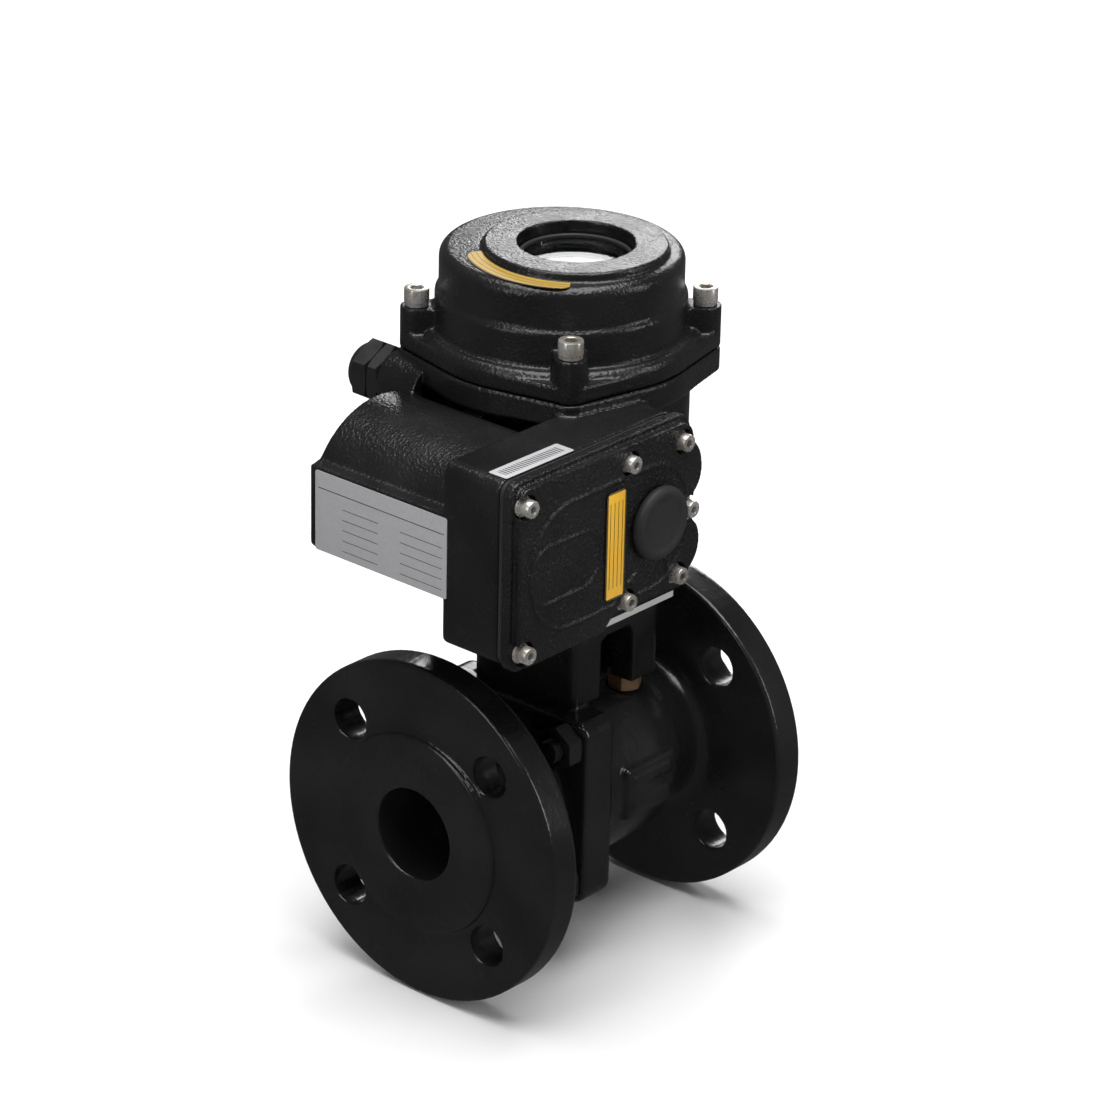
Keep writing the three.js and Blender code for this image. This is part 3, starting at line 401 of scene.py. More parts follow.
def plain(name, color, gloss, grain=1800, depth=0.00003, specular=0.5):
    """Moulded plastic or rubber: fine grain, slightly uneven colour and gloss."""
    s = Surface(name)
    lighter = tuple(min(1, c * 1.25 + 0.002) for c in color)
    s.link(s.blend(s.ranged(s.noise(70, 3), 0, 1), color, lighter), s.shader.inputs["Base Color"])
    s.link(s.ranged(s.noise(160, 3), gloss - 0.05, gloss + 0.07), s.shader.inputs["Roughness"])
    s.shader.inputs["Specular IOR Level"].default_value = specular
    s.bump([(s.noise(grain, 3, 0.6), depth, 0.8)])
    return s.material


def clear_glass():
    s = Surface("window_glass_clear")
    s.shader.inputs["Transmission Weight"].default_value = 1.0
    s.shader.inputs["IOR"].default_value = 1.18
    s.link(s.ranged(s.noise(300, 2), 0.015, 0.06), s.shader.inputs["Roughness"])
    s.link(s.blend(s.noise(40, 1), (0.96, 0.98, 0.98), (1, 1, 1)), s.shader.inputs["Base Color"])
    return s.material


def between(s, value, low, high):
    """1 where value lies between low and high."""
    return s.math("MULTIPLY", s.math("GREATER_THAN", value, low), s.math("LESS_THAN", value, high))


def ruled_label(name, color, ink, masks, gloss=0.42):
    """Printed sticker: masks(s, axes) gives the share of ink from the object's coordinates in metres."""
    s = Surface(name)
    split = s.put("ShaderNodeSeparateXYZ")
    s.link(s.place, split.inputs[0])
    share = masks(s, split.outputs)
    fibre = s.blend(s.ranged(s.noise(500, 3), 0, 1), tuple(c * 0.93 for c in color), color)
    s.link(s.blend(share, fibre, ink), s.shader.inputs["Base Color"])
    s.link(s.ranged(s.noise(90, 2), gloss - 0.04, gloss + 0.06), s.shader.inputs["Roughness"])
    s.bump([(s.noise(260, 2), 0.00004, 0.4)])
    return s.material


# ---------- looks ----------

BLACK = (0.0052, 0.0052, 0.0056)
ACTUATOR_PAINT = paint("actuator_paint", BLACK, 0.22, 820, 0.00034, 0.0)
COVER_PAINT = paint("cover_paint", BLACK, 0.26, 760, 0.0007, 0.0)
VALVE_PAINT = paint("valve_paint", BLACK, 0.2, 420, 0.00012, 0.1)
NUT_PAINT = paint("painted_fastener", BLACK, 0.24, 900, 0.00008, 0.1)
STAINLESS = metal(
    "stainless_fastener", (0.66, 0.64, 0.61), 0.26, scratch=1600, stain=(0.36, 0.32, 0.27), metallic=0.72,
)
POLISHED = metal("polished_steel", (0.74, 0.74, 0.73), 0.14, (1, 1, 14), 700)
GEAR_STEEL = metal("gear_steel", (0.42, 0.42, 0.41), 0.34, (6, 1, 6), 900, (0.2, 0.18, 0.15))
DARK_STEEL = metal("motor_steel", (0.13, 0.13, 0.135), 0.42, (1, 8, 1), 800)
YELLOW_ZINC = metal(
    "yellow_zinc", (0.36, 0.22, 0.12), 0.36, scratch=1300, stain=(0.22, 0.1, 0.06), metallic=0.7,
)
ALUMINIUM = metal("bare_aluminium", (0.74, 0.74, 0.73), 0.34, (1, 1, 9), 1100, metallic=0.3)
BRONZE = metal("bronze", (0.55, 0.34, 0.14), 0.3, (3, 3, 9), 900, (0.28, 0.15, 0.06))
RUBBER = plain("black_rubber", (0.016, 0.016, 0.0165), 0.6, 1500, 0.00006, 0.4)
PLASTIC = plain("black_plastic", (0.008, 0.008, 0.0085), 0.38, 2200, 0.00004)
PTFE = plain("white_ptfe", (0.78, 0.77, 0.73), 0.42, 900, 0.00002)
CAM_PLASTIC = plain("red_cam", (0.42, 0.05, 0.035), 0.4)
BOARD = plain("green_board", (0.02, 0.12, 0.06), 0.36)
GLASS = clear_glass()


# ---------- pipe side ----------

PLATE_DEPTH = 11  # thickness of the two square plates that meet at the joint
PLATE_HALF = 42
INLET = span("end_cap")[0].x
CAP_PLATE_END = span("end_cap")[1].x
CAP_PLATE = CAP_PLATE_END - PLATE_DEPTH
OUTLET = span("valve_body")[1].x
BODY_PLATE = span("valve_body")[0].x
PLATFORM_TOP = span("valve_body")[1].z
FLANGE_R = span("end_cap")[1].z
FLANGE_DEPTH = 18
FLANGE_HOLE_R = 9
RAISED_R = 44
RAISED_DEPTH = 3
PORT_R = 20
BALL_R = 30
BALL_ROOM_R = 31.4
SEAT_POCKET_R = 27.3
SEAT_POCKET_END = 27.8
STEM_HOLE_R = 8.8
PACKING_ROOM_R = 12
PAD_HOLE_R = 10
STUFFING_R = 17
PLATFORM_Z = 42.6
LOWER_PAD = 3.6
UPPER_PAD = 7

# Half the distance between neighbours, for fasteners that stand in a square.
FLANGE_BOLTS = 38.89
STUDS = 31.5
BASE_BOLTS = 17.68
LUGS = 41.9

# Radii of the fastener holes.
STUD_HOLE_R = 5.4
BASE_BOLT_HOLE_R = 4.4
COVER_SCREW_HOLE_R = 2.4
LID_BOLT_HOLE_R = 3.4


def corners(offset):
    """Corners of a square round the origin, with sides twice as long as the offset."""
    return [(-offset, -offset), (offset, -offset), (offset, offset), (-offset, offset)]


def disc_profile(face, side):
    """A flange seen in section: raised face, rim and back, from the pipe end inwards."""
    step = 0.7
    edge = 0.9
    steps = [
        (0, 0), (RAISED_R - step, 0), (RAISED_R, step), (RAISED_R, RAISED_DEPTH),
        (FLANGE_R - edge, RAISED_DEPTH), (FLANGE_R, RAISED_DEPTH + edge),
        (FLANGE_R, FLANGE_DEPTH - edge), (FLANGE_R - edge, FLANGE_DEPTH),
    ]
    return [(radius, face + side * depth) for radius, depth in steps]


def flange_holes(face, side):
    start = face - side * 2
    end = face + side * (FLANGE_DEPTH + 2)
    return [cylinder("X", FLANGE_HOLE_R, start, end, y, z, 48) for y, z in corners(FLANGE_BOLTS)]


def square_plate(x0, x1):
    return chamfer(prism(rounded_square(PLATE_HALF, 7), "X", x0, x1), 1.5, 3)


def head_rooms():
    """Rooms for the heads of the base bolts, under the platform."""
    return [cylinder("Z", 9.2, PLATFORM_Z - 7, PLATFORM_Z, x, y, 40) for x, y in corners(BASE_BOLTS)]


def end_cap():
    neck = 31
    fillet = 7
    back = INLET + FLANGE_DEPTH
    profile = disc_profile(INLET, 1) + [(neck + fillet, back)]
    profile += bend((neck + fillet, back), (neck, back), (neck, back + fillet))
    root = (neck, CAP_PLATE - 5)
    in_plate = CAP_PLATE + 0.1
    profile += [root] + bend(root, (neck, CAP_PLATE), (neck + 5, in_plate))
    profile += [(0, in_plate)]
    shape = join(revolve(profile, "X"), square_plate(CAP_PLATE, CAP_PLATE_END))
    cut(shape, *flange_holes(INLET, 1), *head_rooms())
    port = [(0, INLET - 1), (PORT_R + 1, INLET - 1), (PORT_R, INLET + 1), (PORT_R, 0), (0, 0)]
    cut(shape, revolve(port, "X"))
    cast(shape, 0.8)
    cut(shape, cylinder("X", SEAT_POCKET_R, -SEAT_POCKET_END, 0))
    cut(shape, *[cylinder("X", STUD_HOLE_R, CAP_PLATE - 1, 0, y, z, 24) for y, z in corners(STUDS)])
    finish_piece(shape, "end_cap_casting", "frame", VALVE_PAINT, ["end_cap"], sharp=50)


def platform():
    """The actuator's foot: two pads joined by corner posts, open between them at the front and back."""
    half = 28
    room_r = 18.5
    corner = 4
    foot = chamfer(prism(rounded_square(half, corner), "Z", PLATFORM_Z, PLATFORM_TOP), 1, 3)
    low = PLATFORM_Z + LOWER_PAD
    high = PLATFORM_TOP - UPPER_PAD
    window = prism(rounded_rect(-10, 10, low - 12, high, corner), "Y", -half - 2, half + 2)
    cut(window, cylinder("Z", STUFFING_R + 1, low - 14, low))
    return cut(foot, cylinder("Z", room_r, low, high), window)


def valve_body():
    barrel = 41
    neck = 33
    fillet = 7
    plate_end = BODY_PLATE + PLATE_DEPTH
    back = OUTLET - FLANGE_DEPTH
    profile = [(0, plate_end - 1), (barrel, plate_end - 1), (barrel, 14)]
    profile += bend((barrel, 14), (barrel, 30), (neck + 1, 36)) + [(neck, 38), (neck, back - fillet)]
    profile += bend((neck, back - fillet), (neck, back), (neck + fillet, back))
    profile += disc_profile(OUTLET, -1)[::-1]
    raised_bars = [chamfer(block(-4, 20, -43.2, -38, low, low + 5), 0.6) for low in (3, -8)]
    shape = join(
        revolve(profile, "X"),
        square_plate(BODY_PLATE, plate_end),
        cylinder("Z", STUFFING_R, 30, PLATFORM_Z + LOWER_PAD),
        platform(),
        chamfer(block(-8, 24, -42.4, -30, -12, 12), 1.5, 3),
        *raised_bars,
    )
    cut(shape, *flange_holes(OUTLET, -1), *head_rooms())
    port = [(0, 0), (PORT_R, 0), (PORT_R, OUTLET - 1), (PORT_R + 1, OUTLET + 1), (0, OUTLET + 1)]
    cut(shape, revolve(port, "X"))
    cast(shape, 0.8)
    cut(
        shape,
        cylinder("X", 31, BODY_PLATE - 1, 6),
        ball_shape(BALL_ROOM_R, 32),
        cylinder("X", SEAT_POCKET_R, 0, SEAT_POCKET_END),
        cylinder("Z", STEM_HOLE_R, 20, PLATFORM_TOP + 1),
        cylinder("Z", PAD_HOLE_R, PLATFORM_TOP - UPPER_PAD - 1, PLATFORM_TOP + 1),
        cylinder("Z", PACKING_ROOM_R, 36, PLATFORM_Z + LOWER_PAD + 1),
    )
    ends = (BODY_PLATE - 1, plate_end - 1.5)
    cut(shape, *[cylinder("X", STUD_HOLE_R, *ends, y, z, 24) for y, z in corners(STUDS)])
    ends = (PLATFORM_Z - 1, PLATFORM_TOP + 1)
    cut(shape, *[cylinder("Z", BASE_BOLT_HOLE_R, *ends, x, y, 24) for x, y in corners(BASE_BOLTS)])
    finish_piece(shape, "valve_body_casting", "frame", VALVE_PAINT, ["valve_body"], sharp=50)


def ball_and_seats():
    ball = cut(
        ball_shape(BALL_R),
        cylinder("X", PORT_R, -BALL_R - 2, BALL_R + 2),
        block(-3.3, 3.3, -BALL_R, BALL_R, 25.4, BALL_R + 1),
    )
    finish_piece(chamfer(ball, 0.5), "ball_polished", "output_train", POLISHED, ["ball"])
    for node in ("seat_ring_inlet", "seat_ring_outlet"):
        low, high = span(node)
        seat = cut(
            cylinder("X", 27, low.x, high.x),
            cylinder("X", PORT_R, low.x - 1, high.x + 1),
            ball_shape(BALL_R + 0.2),
        )
        finish_piece(chamfer(seat, 0.3), node + "_turned", "frame", PTFE, [node])


# ---------- fasteners ----------

COVER_SCREWS = sorted(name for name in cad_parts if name.startswith("cover_screw_"))


def thread_profile(radius, start, end, pitch):
    """Half section of a threaded rod: straight-sided grooves between start and end."""
    points = [(0, start)]
    root = radius - 0.3 * pitch
    count = int(abs(end - start) / pitch)
    step = (end - start) / count
    for i in range(count):
        at = start + i * step
        points += [(root, at), (radius, at + 0.35 * step), (radius, at + 0.6 * step)]
    return points + [(root, end), (0, end)]


def hex_blank(across, axis, a, b, start, end):
    """Hexagon with its corners turned off at both ends."""
    reach = across / math.sqrt(3)
    edge = reach - across / 2
    lean = 0.45 * edge
    near = reach - 0.9 * edge
    far = reach + 0.05
    cone = revolve(
        [(0, start), (near, start), (far, start + lean), (far, end - lean), (near, end), (0, end)],
        axis, a, b, 64,
    )
    return combine(prism(hexagon(across, a, b, 30), axis, start, end), [cone], "INTERSECT")


def body_fasteners():
    radius = 5
    thread_end = -33
    for i in range(1, 5):
        centre = middle(f"body_stud_{i}")
        low, high = span(f"body_stud_{i}")
        thread = thread_profile(radius, low.x + 0.6, thread_end, 1.5)
        stud = join(
            revolve(thread, "X", centre.y, centre.z, 40),
            cylinder("X", radius, thread_end - 0.2, high.x, centre.y, centre.z, 40),
        )
        finish_piece(stud, f"body_stud_{i}_threaded", "frame", NUT_PAINT, [f"body_stud_{i}"])
        low, high = span(f"body_nut_{i}")
        nut = cut(
            hex_blank(17, "X", centre.y, centre.z, low.x, high.x),
            cylinder("X", radius + 0.25, low.x - 1, high.x + 1, centre.y, centre.z, 40),
        )
        finish_piece(nut, f"body_nut_{i}_chamfered", "frame", NUT_PAINT, [f"body_nut_{i}"])


def base_bolts():
    for i in range(1, 5):
        node = f"base_bolt_{i}"
        centre = middle(node)
        low, high = span(node)
        head_end = PLATFORM_Z - 0.3
        bolt = join(
            hex_blank(13, "Z", centre.x, centre.y, low.z, head_end),
            revolve(thread_profile(4, head_end - 0.5, high.z, 1.25), "Z", centre.x, centre.y, 40),
        )
        finish_piece(bolt, node + "_plated", "frame", YELLOW_ZINC, [node])


def socket_head(axis, a, b, seat, away, radius, length, key):
    """Head of a socket screw: rounded top edge, hexagon recess.

    away is the side of the seat it stands on, 1 or -1, and key is the recess's width across flats.
    """
    def at(height):
        return seat + away * height
    head = revolve(
        [(0, at(0)), (radius - 0.25, at(0)), (radius, at(0.3)), (radius, at(length - 0.5)),
         (radius - 0.18, at(length - 0.15)), (radius - 0.6, at(length)), (0, at(length))],
        axis, a, b, 56,
    )
    recess = prism(hexagon(key, a, b, 12), axis, at(length * 0.42), at(length + 1))
    low = at(length - 0.3)
    high = at(length + 0.1)
    lead_in = revolve([(0, low), (key * 0.52, low), (key * 0.64, high), (0, high)], axis, a, b, 48)
    return cut(head, recess, lead_in)


def washer(axis, a, b, inner, outer, start, end):
    return revolve([(inner, start), (outer, start), (outer, end), (inner, end)], axis, a, b, 56)


def spring_washer(axis, a, b, inner, outer, start, end):
    """Split ring: a turned washer with a slanted slit."""
    ring = washer(axis, a, b, inner, outer, start, end)
    gap = 0.35
    far = b + outer + 1
    slit = prism([(a - gap, b), (a + gap, b), (a + gap * 2, far), (a, far)], axis, start - 1, end + 1)
    return cut(ring, slit)


def cover_screws():
    for node in COVER_SCREWS:
        centre = middle(node)
        low, high = span(node)
        seat = low.y + 6.2
        screw = join(
            socket_head("Y", centre.x, centre.z, seat - 1.9, -1, 3.6, 4.3, 3),
            chamfer(washer("Y", centre.x, centre.z, 2, 4.4, seat - 0.8, seat), 0.12),
            spring_washer("Y", centre.x, centre.z, 2, 3.75, seat - 1.95, seat - 0.75),
            cylinder("Y", 2.02, seat - 2.2, high.y, centre.x, centre.z, 32),
        )
        finish_piece(screw, node + "_stainless", "frame", STAINLESS, [node], sharp=30)


def lid_bolts():
    for i in range(1, 5):
        node = f"lid_bolt_{i}"
        centre = middle(node)
        low, high = span(node)
        seat = high.z - 7.4
        bolt = join(
            socket_head("Z", centre.x, centre.y, seat + 1.3, 1, 5.2, 6.1, 5),
            spring_washer("Z", centre.x, centre.y, 3, 5, seat, seat + 1.35),
            cylinder("Z", 3.02, low.z, seat + 1.8, centre.x, centre.y, 32),
        )
        finish_piece(bolt, node + "_stainless", "frame", STAINLESS, [node], sharp=30)


# ---------- actuator housing ----------

TOWER_Y = 7.2
TOWER_HALF = 43
ROOM_HALF = 38.5
HOUSING_Z = span("housing")[0].z
PARTING_Z = span("housing")[1].z
FLOOR_Z = 98
RIM_R = 57.5
RIM_Z = 178
LUG_R = 6.8
CASE_LEFT = span("gear_cover")[0].x
CASE_FRONT = -63
CASE_SIDE = -116
CASE_TOP = 184.6
CASE_WALL = 5
GLAND_X = -45
GLAND_Y = 57
GLAND_Z = 173
COVER_BACK = span("gear_cover")[1].y
COVER_FACE = span("gear_cover")[0].y
COVER_LIP = COVER_FACE + 3.5
RIDGE = 0.6  # height of the raised lines on the cover
WORM = middle("worm_gear")
MOTOR = middle("motor_pinion")


def case_outline(inset):
    """Outline of the gear case in X and Z: a box with two rounded lobes on the +X side."""
    steps = 10
    left = CASE_LEFT + inset
    bottom = 103.5 + inset
    top = CASE_TOP - inset
    step = 109 + inset
    r = 6 - inset * 0.6
    right = -2.6 - inset
    waist = -8 - inset
    points = [(-62.5 - inset * 0.4, bottom), (-57 - inset * 0.4, step), (-18, step)]
    points += bend((-18, step), (-10 - inset, step), (-9 - inset, 117), steps)
    points += bend((-9 - inset, 117), (-3 - inset, 121), (-3 - inset, 128.5), steps)
    points += bend((-3 - inset, 128.5), (-3 - inset, 135), (waist, 138.5), steps)
    points += bend((waist, 149.5), (right, 153), (right, 160), steps)
    points += bend((right, 160), (right, 168), (waist, 172.5), steps)
    points += bend((waist, 172.5), (-8.5 - inset, top), (-17 - inset, top), steps)
    points += arc(left + r, top - r, r, 90, 180) + arc(left + r, bottom + r, r, 180, 270)
    return points


def chamber_outline():
    """Outline of the motor chamber: a round back and top, with a flat side pad and a flat underside."""
    radius = 40
    under = 110.2
    pad_top = 162.5
    end = 180 - math.degrees(math.asin((pad_top - MOTOR.z) / radius))
    points = [(CASE_SIDE, pad_top - 1), (CASE_SIDE, 127.2), (CASE_SIDE + 3, 124.2)]
    points += [(-60, under), (-38, under), (-38, MOTOR.z)]
    return points + arc(MOTOR.x, MOTOR.z, radius, 0, end, 48)


def lugs(z0, z1):
    """Four round lugs for the lid bolts, each with its root in the rim."""
    made = []
    for x, y in corners(LUGS):
        along = Vector((x, y)).normalized()
        across = Vector((-along.y, along.x)) * LUG_R
        near = Vector((x, y)) - along * 24
        ends = [near - across, Vector((x, y)) - across, Vector((x, y)) + across, near + across]
        made.append(prism([(p.x, p.y + TOWER_Y) for p in ends], "Z", z0, z1))
        made.append(cylinder("Z", LUG_R, z0, z1, x, y + TOWER_Y, 48))
    return made


def rim_plate(radius, z0, z1):
    """Round plate drawn out to the four lugs by straight edges."""
    circles = [(0, TOWER_Y, radius)] + [(x, y + TOWER_Y, LUG_R) for x, y in corners(LUGS)]
    points = [p for x, y, r in circles for p in arc(x, y, r, 0, 354, 59)]
    return prism([points[i] for i in convex_hull_2d(points)], "Z", z0, z1)


def screw_places():
    return [(middle(node).x, middle(node).z) for node in COVER_SCREWS]


def case_room(y0, y1):
    """The space inside the gear case, with the screw bosses left standing."""
    bosses = [cylinder("Y", 5.4, y0 - 1, y1 + 1, x, z, 32) for x, z in screw_places()]
    return cut(prism(case_outline(CASE_WALL), "Y", y0, y1), *bosses)


def tower_outline(half, radius, steps):
    return rounded_rect(-half, half, TOWER_Y - half, TOWER_Y + half, radius, steps)


def housing():
    flare = [(0, RIM_Z - 8), (48, RIM_Z - 8), (RIM_R, RIM_Z + 0.01), (0, RIM_Z + 0.01)]
    boss_y = LUGS + TOWER_Y
    boss_z = 150
    boss_r = 5
    outer = join(
        prism(tower_outline(TOWER_HALF, 16, 12), "Z", HOUSING_Z, PARTING_Z),
        rim_plate(RIM_R, RIM_Z, PARTING_Z),
        revolve(flare, "Z", 0, TOWER_Y, 128),
        *lugs(RIM_Z, PARTING_Z),
        cylinder("Z", boss_r, boss_z, RIM_Z + 1, -LUGS, boss_y, 40),
        block(-LUGS - boss_r, -30, boss_y - 16, boss_y + 1, boss_z, RIM_Z + 1),
        prism(case_outline(1), "Y", CASE_FRONT, -34),
        prism(chamber_outline(), "Y", -39, 38),
        cylinder("Y", 13, 36, GLAND_Y, GLAND_X, GLAND_Z, 64),
    )
    shelf_top = 172.7  # the switch plate lies on these two shelves
    bearing_room_r = 8.4
    tower_room = cut(
        prism(tower_outline(ROOM_HALF, 11.5, 8), "Z", FLOOR_Z, PARTING_Z + 1),
        block(-44, -21, 31.7, 41, FLOOR_Z - 1, shelf_top),
        block(21, 40, -32, -22, FLOOR_Z - 1, shelf_top),
    )
    cut(
        outer,
        tower_room,
        cylinder("Z", 16.3, HOUSING_Z - 1, FLOOR_Z + 1),
        cylinder("Y", 10.8, -31.5, 33, WORM.x, WORM.z),
        case_room(CASE_FRONT - 1, -40),
        cylinder("Y", bearing_room_r, -41, -33, WORM.x, WORM.z),
        cylinder("Y", 4.8, -34, -30, WORM.x, WORM.z),
        cylinder("Y", bearing_room_r, 32, 40, WORM.x, WORM.z),
        cylinder("Y", 31.6, -41, -34, MOTOR.x, MOTOR.z),
        cylinder("Y", 27.9, -35, 34, MOTOR.x, MOTOR.z),
        cylinder("Y", 7.1, 33, GLAND_Y + 1, GLAND_X, GLAND_Z),
        cylinder("Y", 15, GLAND_Y, GLAND_Y + 15, GLAND_X, GLAND_Z),
        block(-45, -30, 33, 42, 169, 179),
    )
    cast(outer, 0.75)
    ends = (HOUSING_Z - 1, 94.5)
    cut(outer, *[cylinder("Z", BASE_BOLT_HOLE_R, *ends, x, y, 24) for x, y in corners(BASE_BOLTS)])
    ends = (CASE_FRONT - 1, -50.5)
    cut(outer, *[cylinder("Y", COVER_SCREW_HOLE_R, *ends, x, z, 24) for x, z in screw_places()])
    ends = (181.5, PARTING_Z + 1)
    cut(outer, *[cylinder("Z", LID_BOLT_HOLE_R, *ends, x, y + TOWER_Y, 24) for x, y in corners(LUGS)])
    finish_piece(outer, "housing_casting", "frame", ACTUATOR_PAINT, ["housing"], sharp=50)


def ridge(x0, x1, z0, z1, corner, width):
    """A raised line on the cover, round a rectangle with rounded corners."""
    y0 = COVER_FACE - RIDGE
    y1 = COVER_FACE + 1
    outer = rounded_rect(x0, x1, z0, z1, corner, 12)
    inner = rounded_rect(x0 + width, x1 - width, z0 + width, z1 - width, corner - width, 12)
    return cut(prism(outer, "Y", y0, y1), prism(inner, "Y", y0 - 1, y1 + 1))


def gear_cover():
    shape = join(
        prism(case_outline(0), "Y", COVER_LIP, COVER_BACK),
        prism(case_outline(2.3), "Y", COVER_FACE, COVER_LIP + 1),
    )
    cut(shape, case_room(COVER_FACE + 3.4, COVER_BACK + 1))
    cut(shape, *[cylinder("Y", 5.2, COVER_FACE - 1, COVER_LIP, x, z, 40) for x, z in screw_places()])
    outer = ridge(-108, -13, 115, 170, 24, 1.3)
    inner = ridge(-109, -66, 129, 154.5, 12, 1.1)
    clear = [cylinder("Y", 6.8, COVER_FACE - 2, COVER_FACE, x, z, 40) for x, z in screw_places()]
    cut(outer, *clear)
    join(shape, outer, inner, *turn_arrows())
    cast(shape, 0.42, 2)
    ends = (COVER_FACE - 1, COVER_BACK + 1)
    cut(shape, *[cylinder("Y", COVER_SCREW_HOLE_R, *ends, x, z, 24) for x, z in screw_places()])
    cut(shape, cylinder("Y", 7, COVER_FACE - 2, COVER_BACK + 1, WORM.x, WORM.z, 48))
    finish_piece(
        shape, "gear_cover_casting", "frame", COVER_PAINT, ["gear_cover"], sharp=50,
    )


def turn_arrows():
    """Two small raised arrowheads below the cap, one each way."""
    ends = (COVER_FACE - RIDGE, COVER_FACE + 1)
    left = prism([(-50, 123), (-44, 126.2), (-44, 119.8)], "Y", *ends)
    right = prism([(-20, 123), (-26, 119.8), (-26, 126.2)], "Y", *ends)
    return [left, right]


def override_cap():
    low, high = span("override_cap")
    rim = COVER_FACE - 0.3
    face = [(0, 0.7), (9.5, 0.6), (11.2, 0.35), (12, 0), (13.6, 0), (14.6, 0.35), (15.35, 1.2), (15.6, 2.2)]
    profile = [(radius, low.y + depth) for radius, depth in face]
    profile += [(15.6, rim - 0.5), (15.2, rim), (6.7, rim), (6.7, rim + 2.2)]
    profile += [(6.4, high.y - 0.4), (6, high.y), (0, high.y)]
    shape = revolve(profile, "Y", WORM.x, WORM.z, 96)
    finish_piece(shape, "override_cap_rubber", "cap", RUBBER, ["override_cap"], sharp=40)


def cable_gland():
    x = GLAND_X
    z = GLAND_Z
    y = GLAND_Y
    across = 24
    pitch = 1.5
    body = cut(
        join(
            revolve(thread_profile(6.6, y - 13.5, y + 0.6, pitch), "Y", x, z, 48),
            hex_blank(across, "Y", x, z, y + 0.3, y + 6),
            revolve(thread_profile(8, y + 5.5, y + 16, pitch), "Y", x, z, 48),
        ),
        cylinder("Y", 4.6, y - 15, y + 17, x, z, 48),
    )
    finish_piece(body, "cable_gland_body_moulded", "frame", PLASTIC, ["cable_gland_body"])
    start = y + 6.5
    dome = [(0, start + 7), (11.8, start + 7)]
    dome += bend((11.8, start + 7), (11.6, start + 11), (8.4, start + 13)) + [(0, start + 13)]
    nut = cut(
        join(hex_blank(across, "Y", x, z, start, start + 8), revolve(dome, "Y", x, z, 64)),
        cylinder("Y", 8.3, start - 1, y + 16.4, x, z, 48),
        cylinder("Y", 5.2, start, start + 14, x, z, 48),
    )
    chamfer(nut, 0.3, 2, 40)
    finish_piece(nut, "cable_gland_nut_moulded", "frame", PLASTIC, ["cable_gland_nut"])


# ---------- lid ----------

DOME_TOP = 233
DOME_R = 50.4
DOME_FILLET = 4.6
DOME_FLAT_R = 35.1  # the dome's top is flat up to here
DOME_FALL = 0.9  # how much lower the top is where its fillet starts
LID_Z = span("top_cover")[0].z
RING_TOP = span("top_cover")[1].z
RING_R = 38.1
LID_R = 57
STEP_R = 52
WINDOW_R = 24.2


def dome_top(radius):
    """Height of the dome's top at a distance from its centre: it falls gently towards the edge."""
    share = (radius - DOME_FLAT_R) / (DOME_R - DOME_FILLET - DOME_FLAT_R)
    return DOME_TOP - DOME_FALL * max(0.0, min(1.0, share))


def top_cover():
    fillet_z = DOME_TOP - DOME_FALL - DOME_FILLET
    shoulder = (LID_R, 194)
    step = (STEP_R, 212.6)
    profile = [(0, LID_Z), (LID_R - 0.4, LID_Z), (LID_R, LID_Z + 0.5), shoulder]
    profile += bend(shoulder, (LID_R, 197.5), (54.5, 198.4)) + [(STEP_R, 198.6), step]
    profile += bend(step, (51.8, 213.8), (DOME_R, 214.2), 4) + [(DOME_R, fillet_z)]
    profile += arc(DOME_R - DOME_FILLET, fillet_z, DOME_FILLET, 0, 90, 10)[1:]
    profile += [(DOME_FLAT_R, DOME_TOP), (0, DOME_TOP)]
    edge = 1.2
    ring = [(0, DOME_TOP - 1), (RING_R, DOME_TOP - 1), (RING_R, RING_TOP - edge)]
    ring += arc(RING_R - edge, RING_TOP - edge, edge, 0, 90, 6)[1:] + [(0, RING_TOP)]
    lug_top = 206.6
    shape = join(
        revolve(profile, "Z", 0, TOWER_Y, 160),
        revolve(ring, "Z", facets=128),
        chamfer(rim_plate(LID_R, LID_Z, 195.6), 0.8),
        *lugs(LID_Z, lug_top),
    )
    cut(
        shape,
        cylinder("Z", 46.4, LID_Z - 1, DOME_TOP - 4, 0, TOWER_Y, 96),
        cylinder("Z", WINDOW_R, LID_Z, RING_TOP + 1, facets=96),
    )
    outwards = LUGS * 1.02
    pockets = [cylinder("Z", 7.4, lug_top, 223, x, y + TOWER_Y, 48) for x, y in corners(outwards)]
    cut(shape, *pockets)
    ledge_z = 226.2  # the window's glass lies on this ledge
    well = cut(
        cylinder("Z", WINDOW_R + 3.8, 223.4, DOME_TOP - 3.5, facets=96),
        cylinder("Z", WINDOW_R - 2.6, 223, DOME_TOP, facets=96),
        cylinder("Z", WINDOW_R, ledge_z, DOME_TOP, facets=96),
    )
    join(shape, well)
    cast(shape, 0.7)
    ends = (LID_Z - 1, lug_top + 0.9)
    cut(shape, *[cylinder("Z", LID_BOLT_HOLE_R, *ends, x, y + TOWER_Y, 24) for x, y in corners(LUGS)])
    finish_piece(
        shape, "top_cover_casting", "frame", ACTUATOR_PAINT, ["top_cover"], sharp=50,
    )


def window():
    low, high = span("window_glass")
    radius = WINDOW_R - 0.5
    glass = revolve([
        (0, low.z), (radius - 0.4, low.z), (radius, low.z + 0.4),
        (radius, high.z - 0.5), (radius - 0.5, high.z), (0, high.z),
    ])
    finish_piece(glass, "window_glass_disc", "frame", GLASS, ["window_glass"])
    low, high = span("window_seal")
    seal = revolve([
        (radius - 1.6, low.z), (radius, low.z), (radius, high.z - 0.4),
        (radius - 0.4, high.z), (radius - 1.2, high.z), (radius - 1.6, high.z - 0.4),
    ])
    finish_piece(seal, "window_seal_moulded", "frame", RUBBER, ["window_seal"])


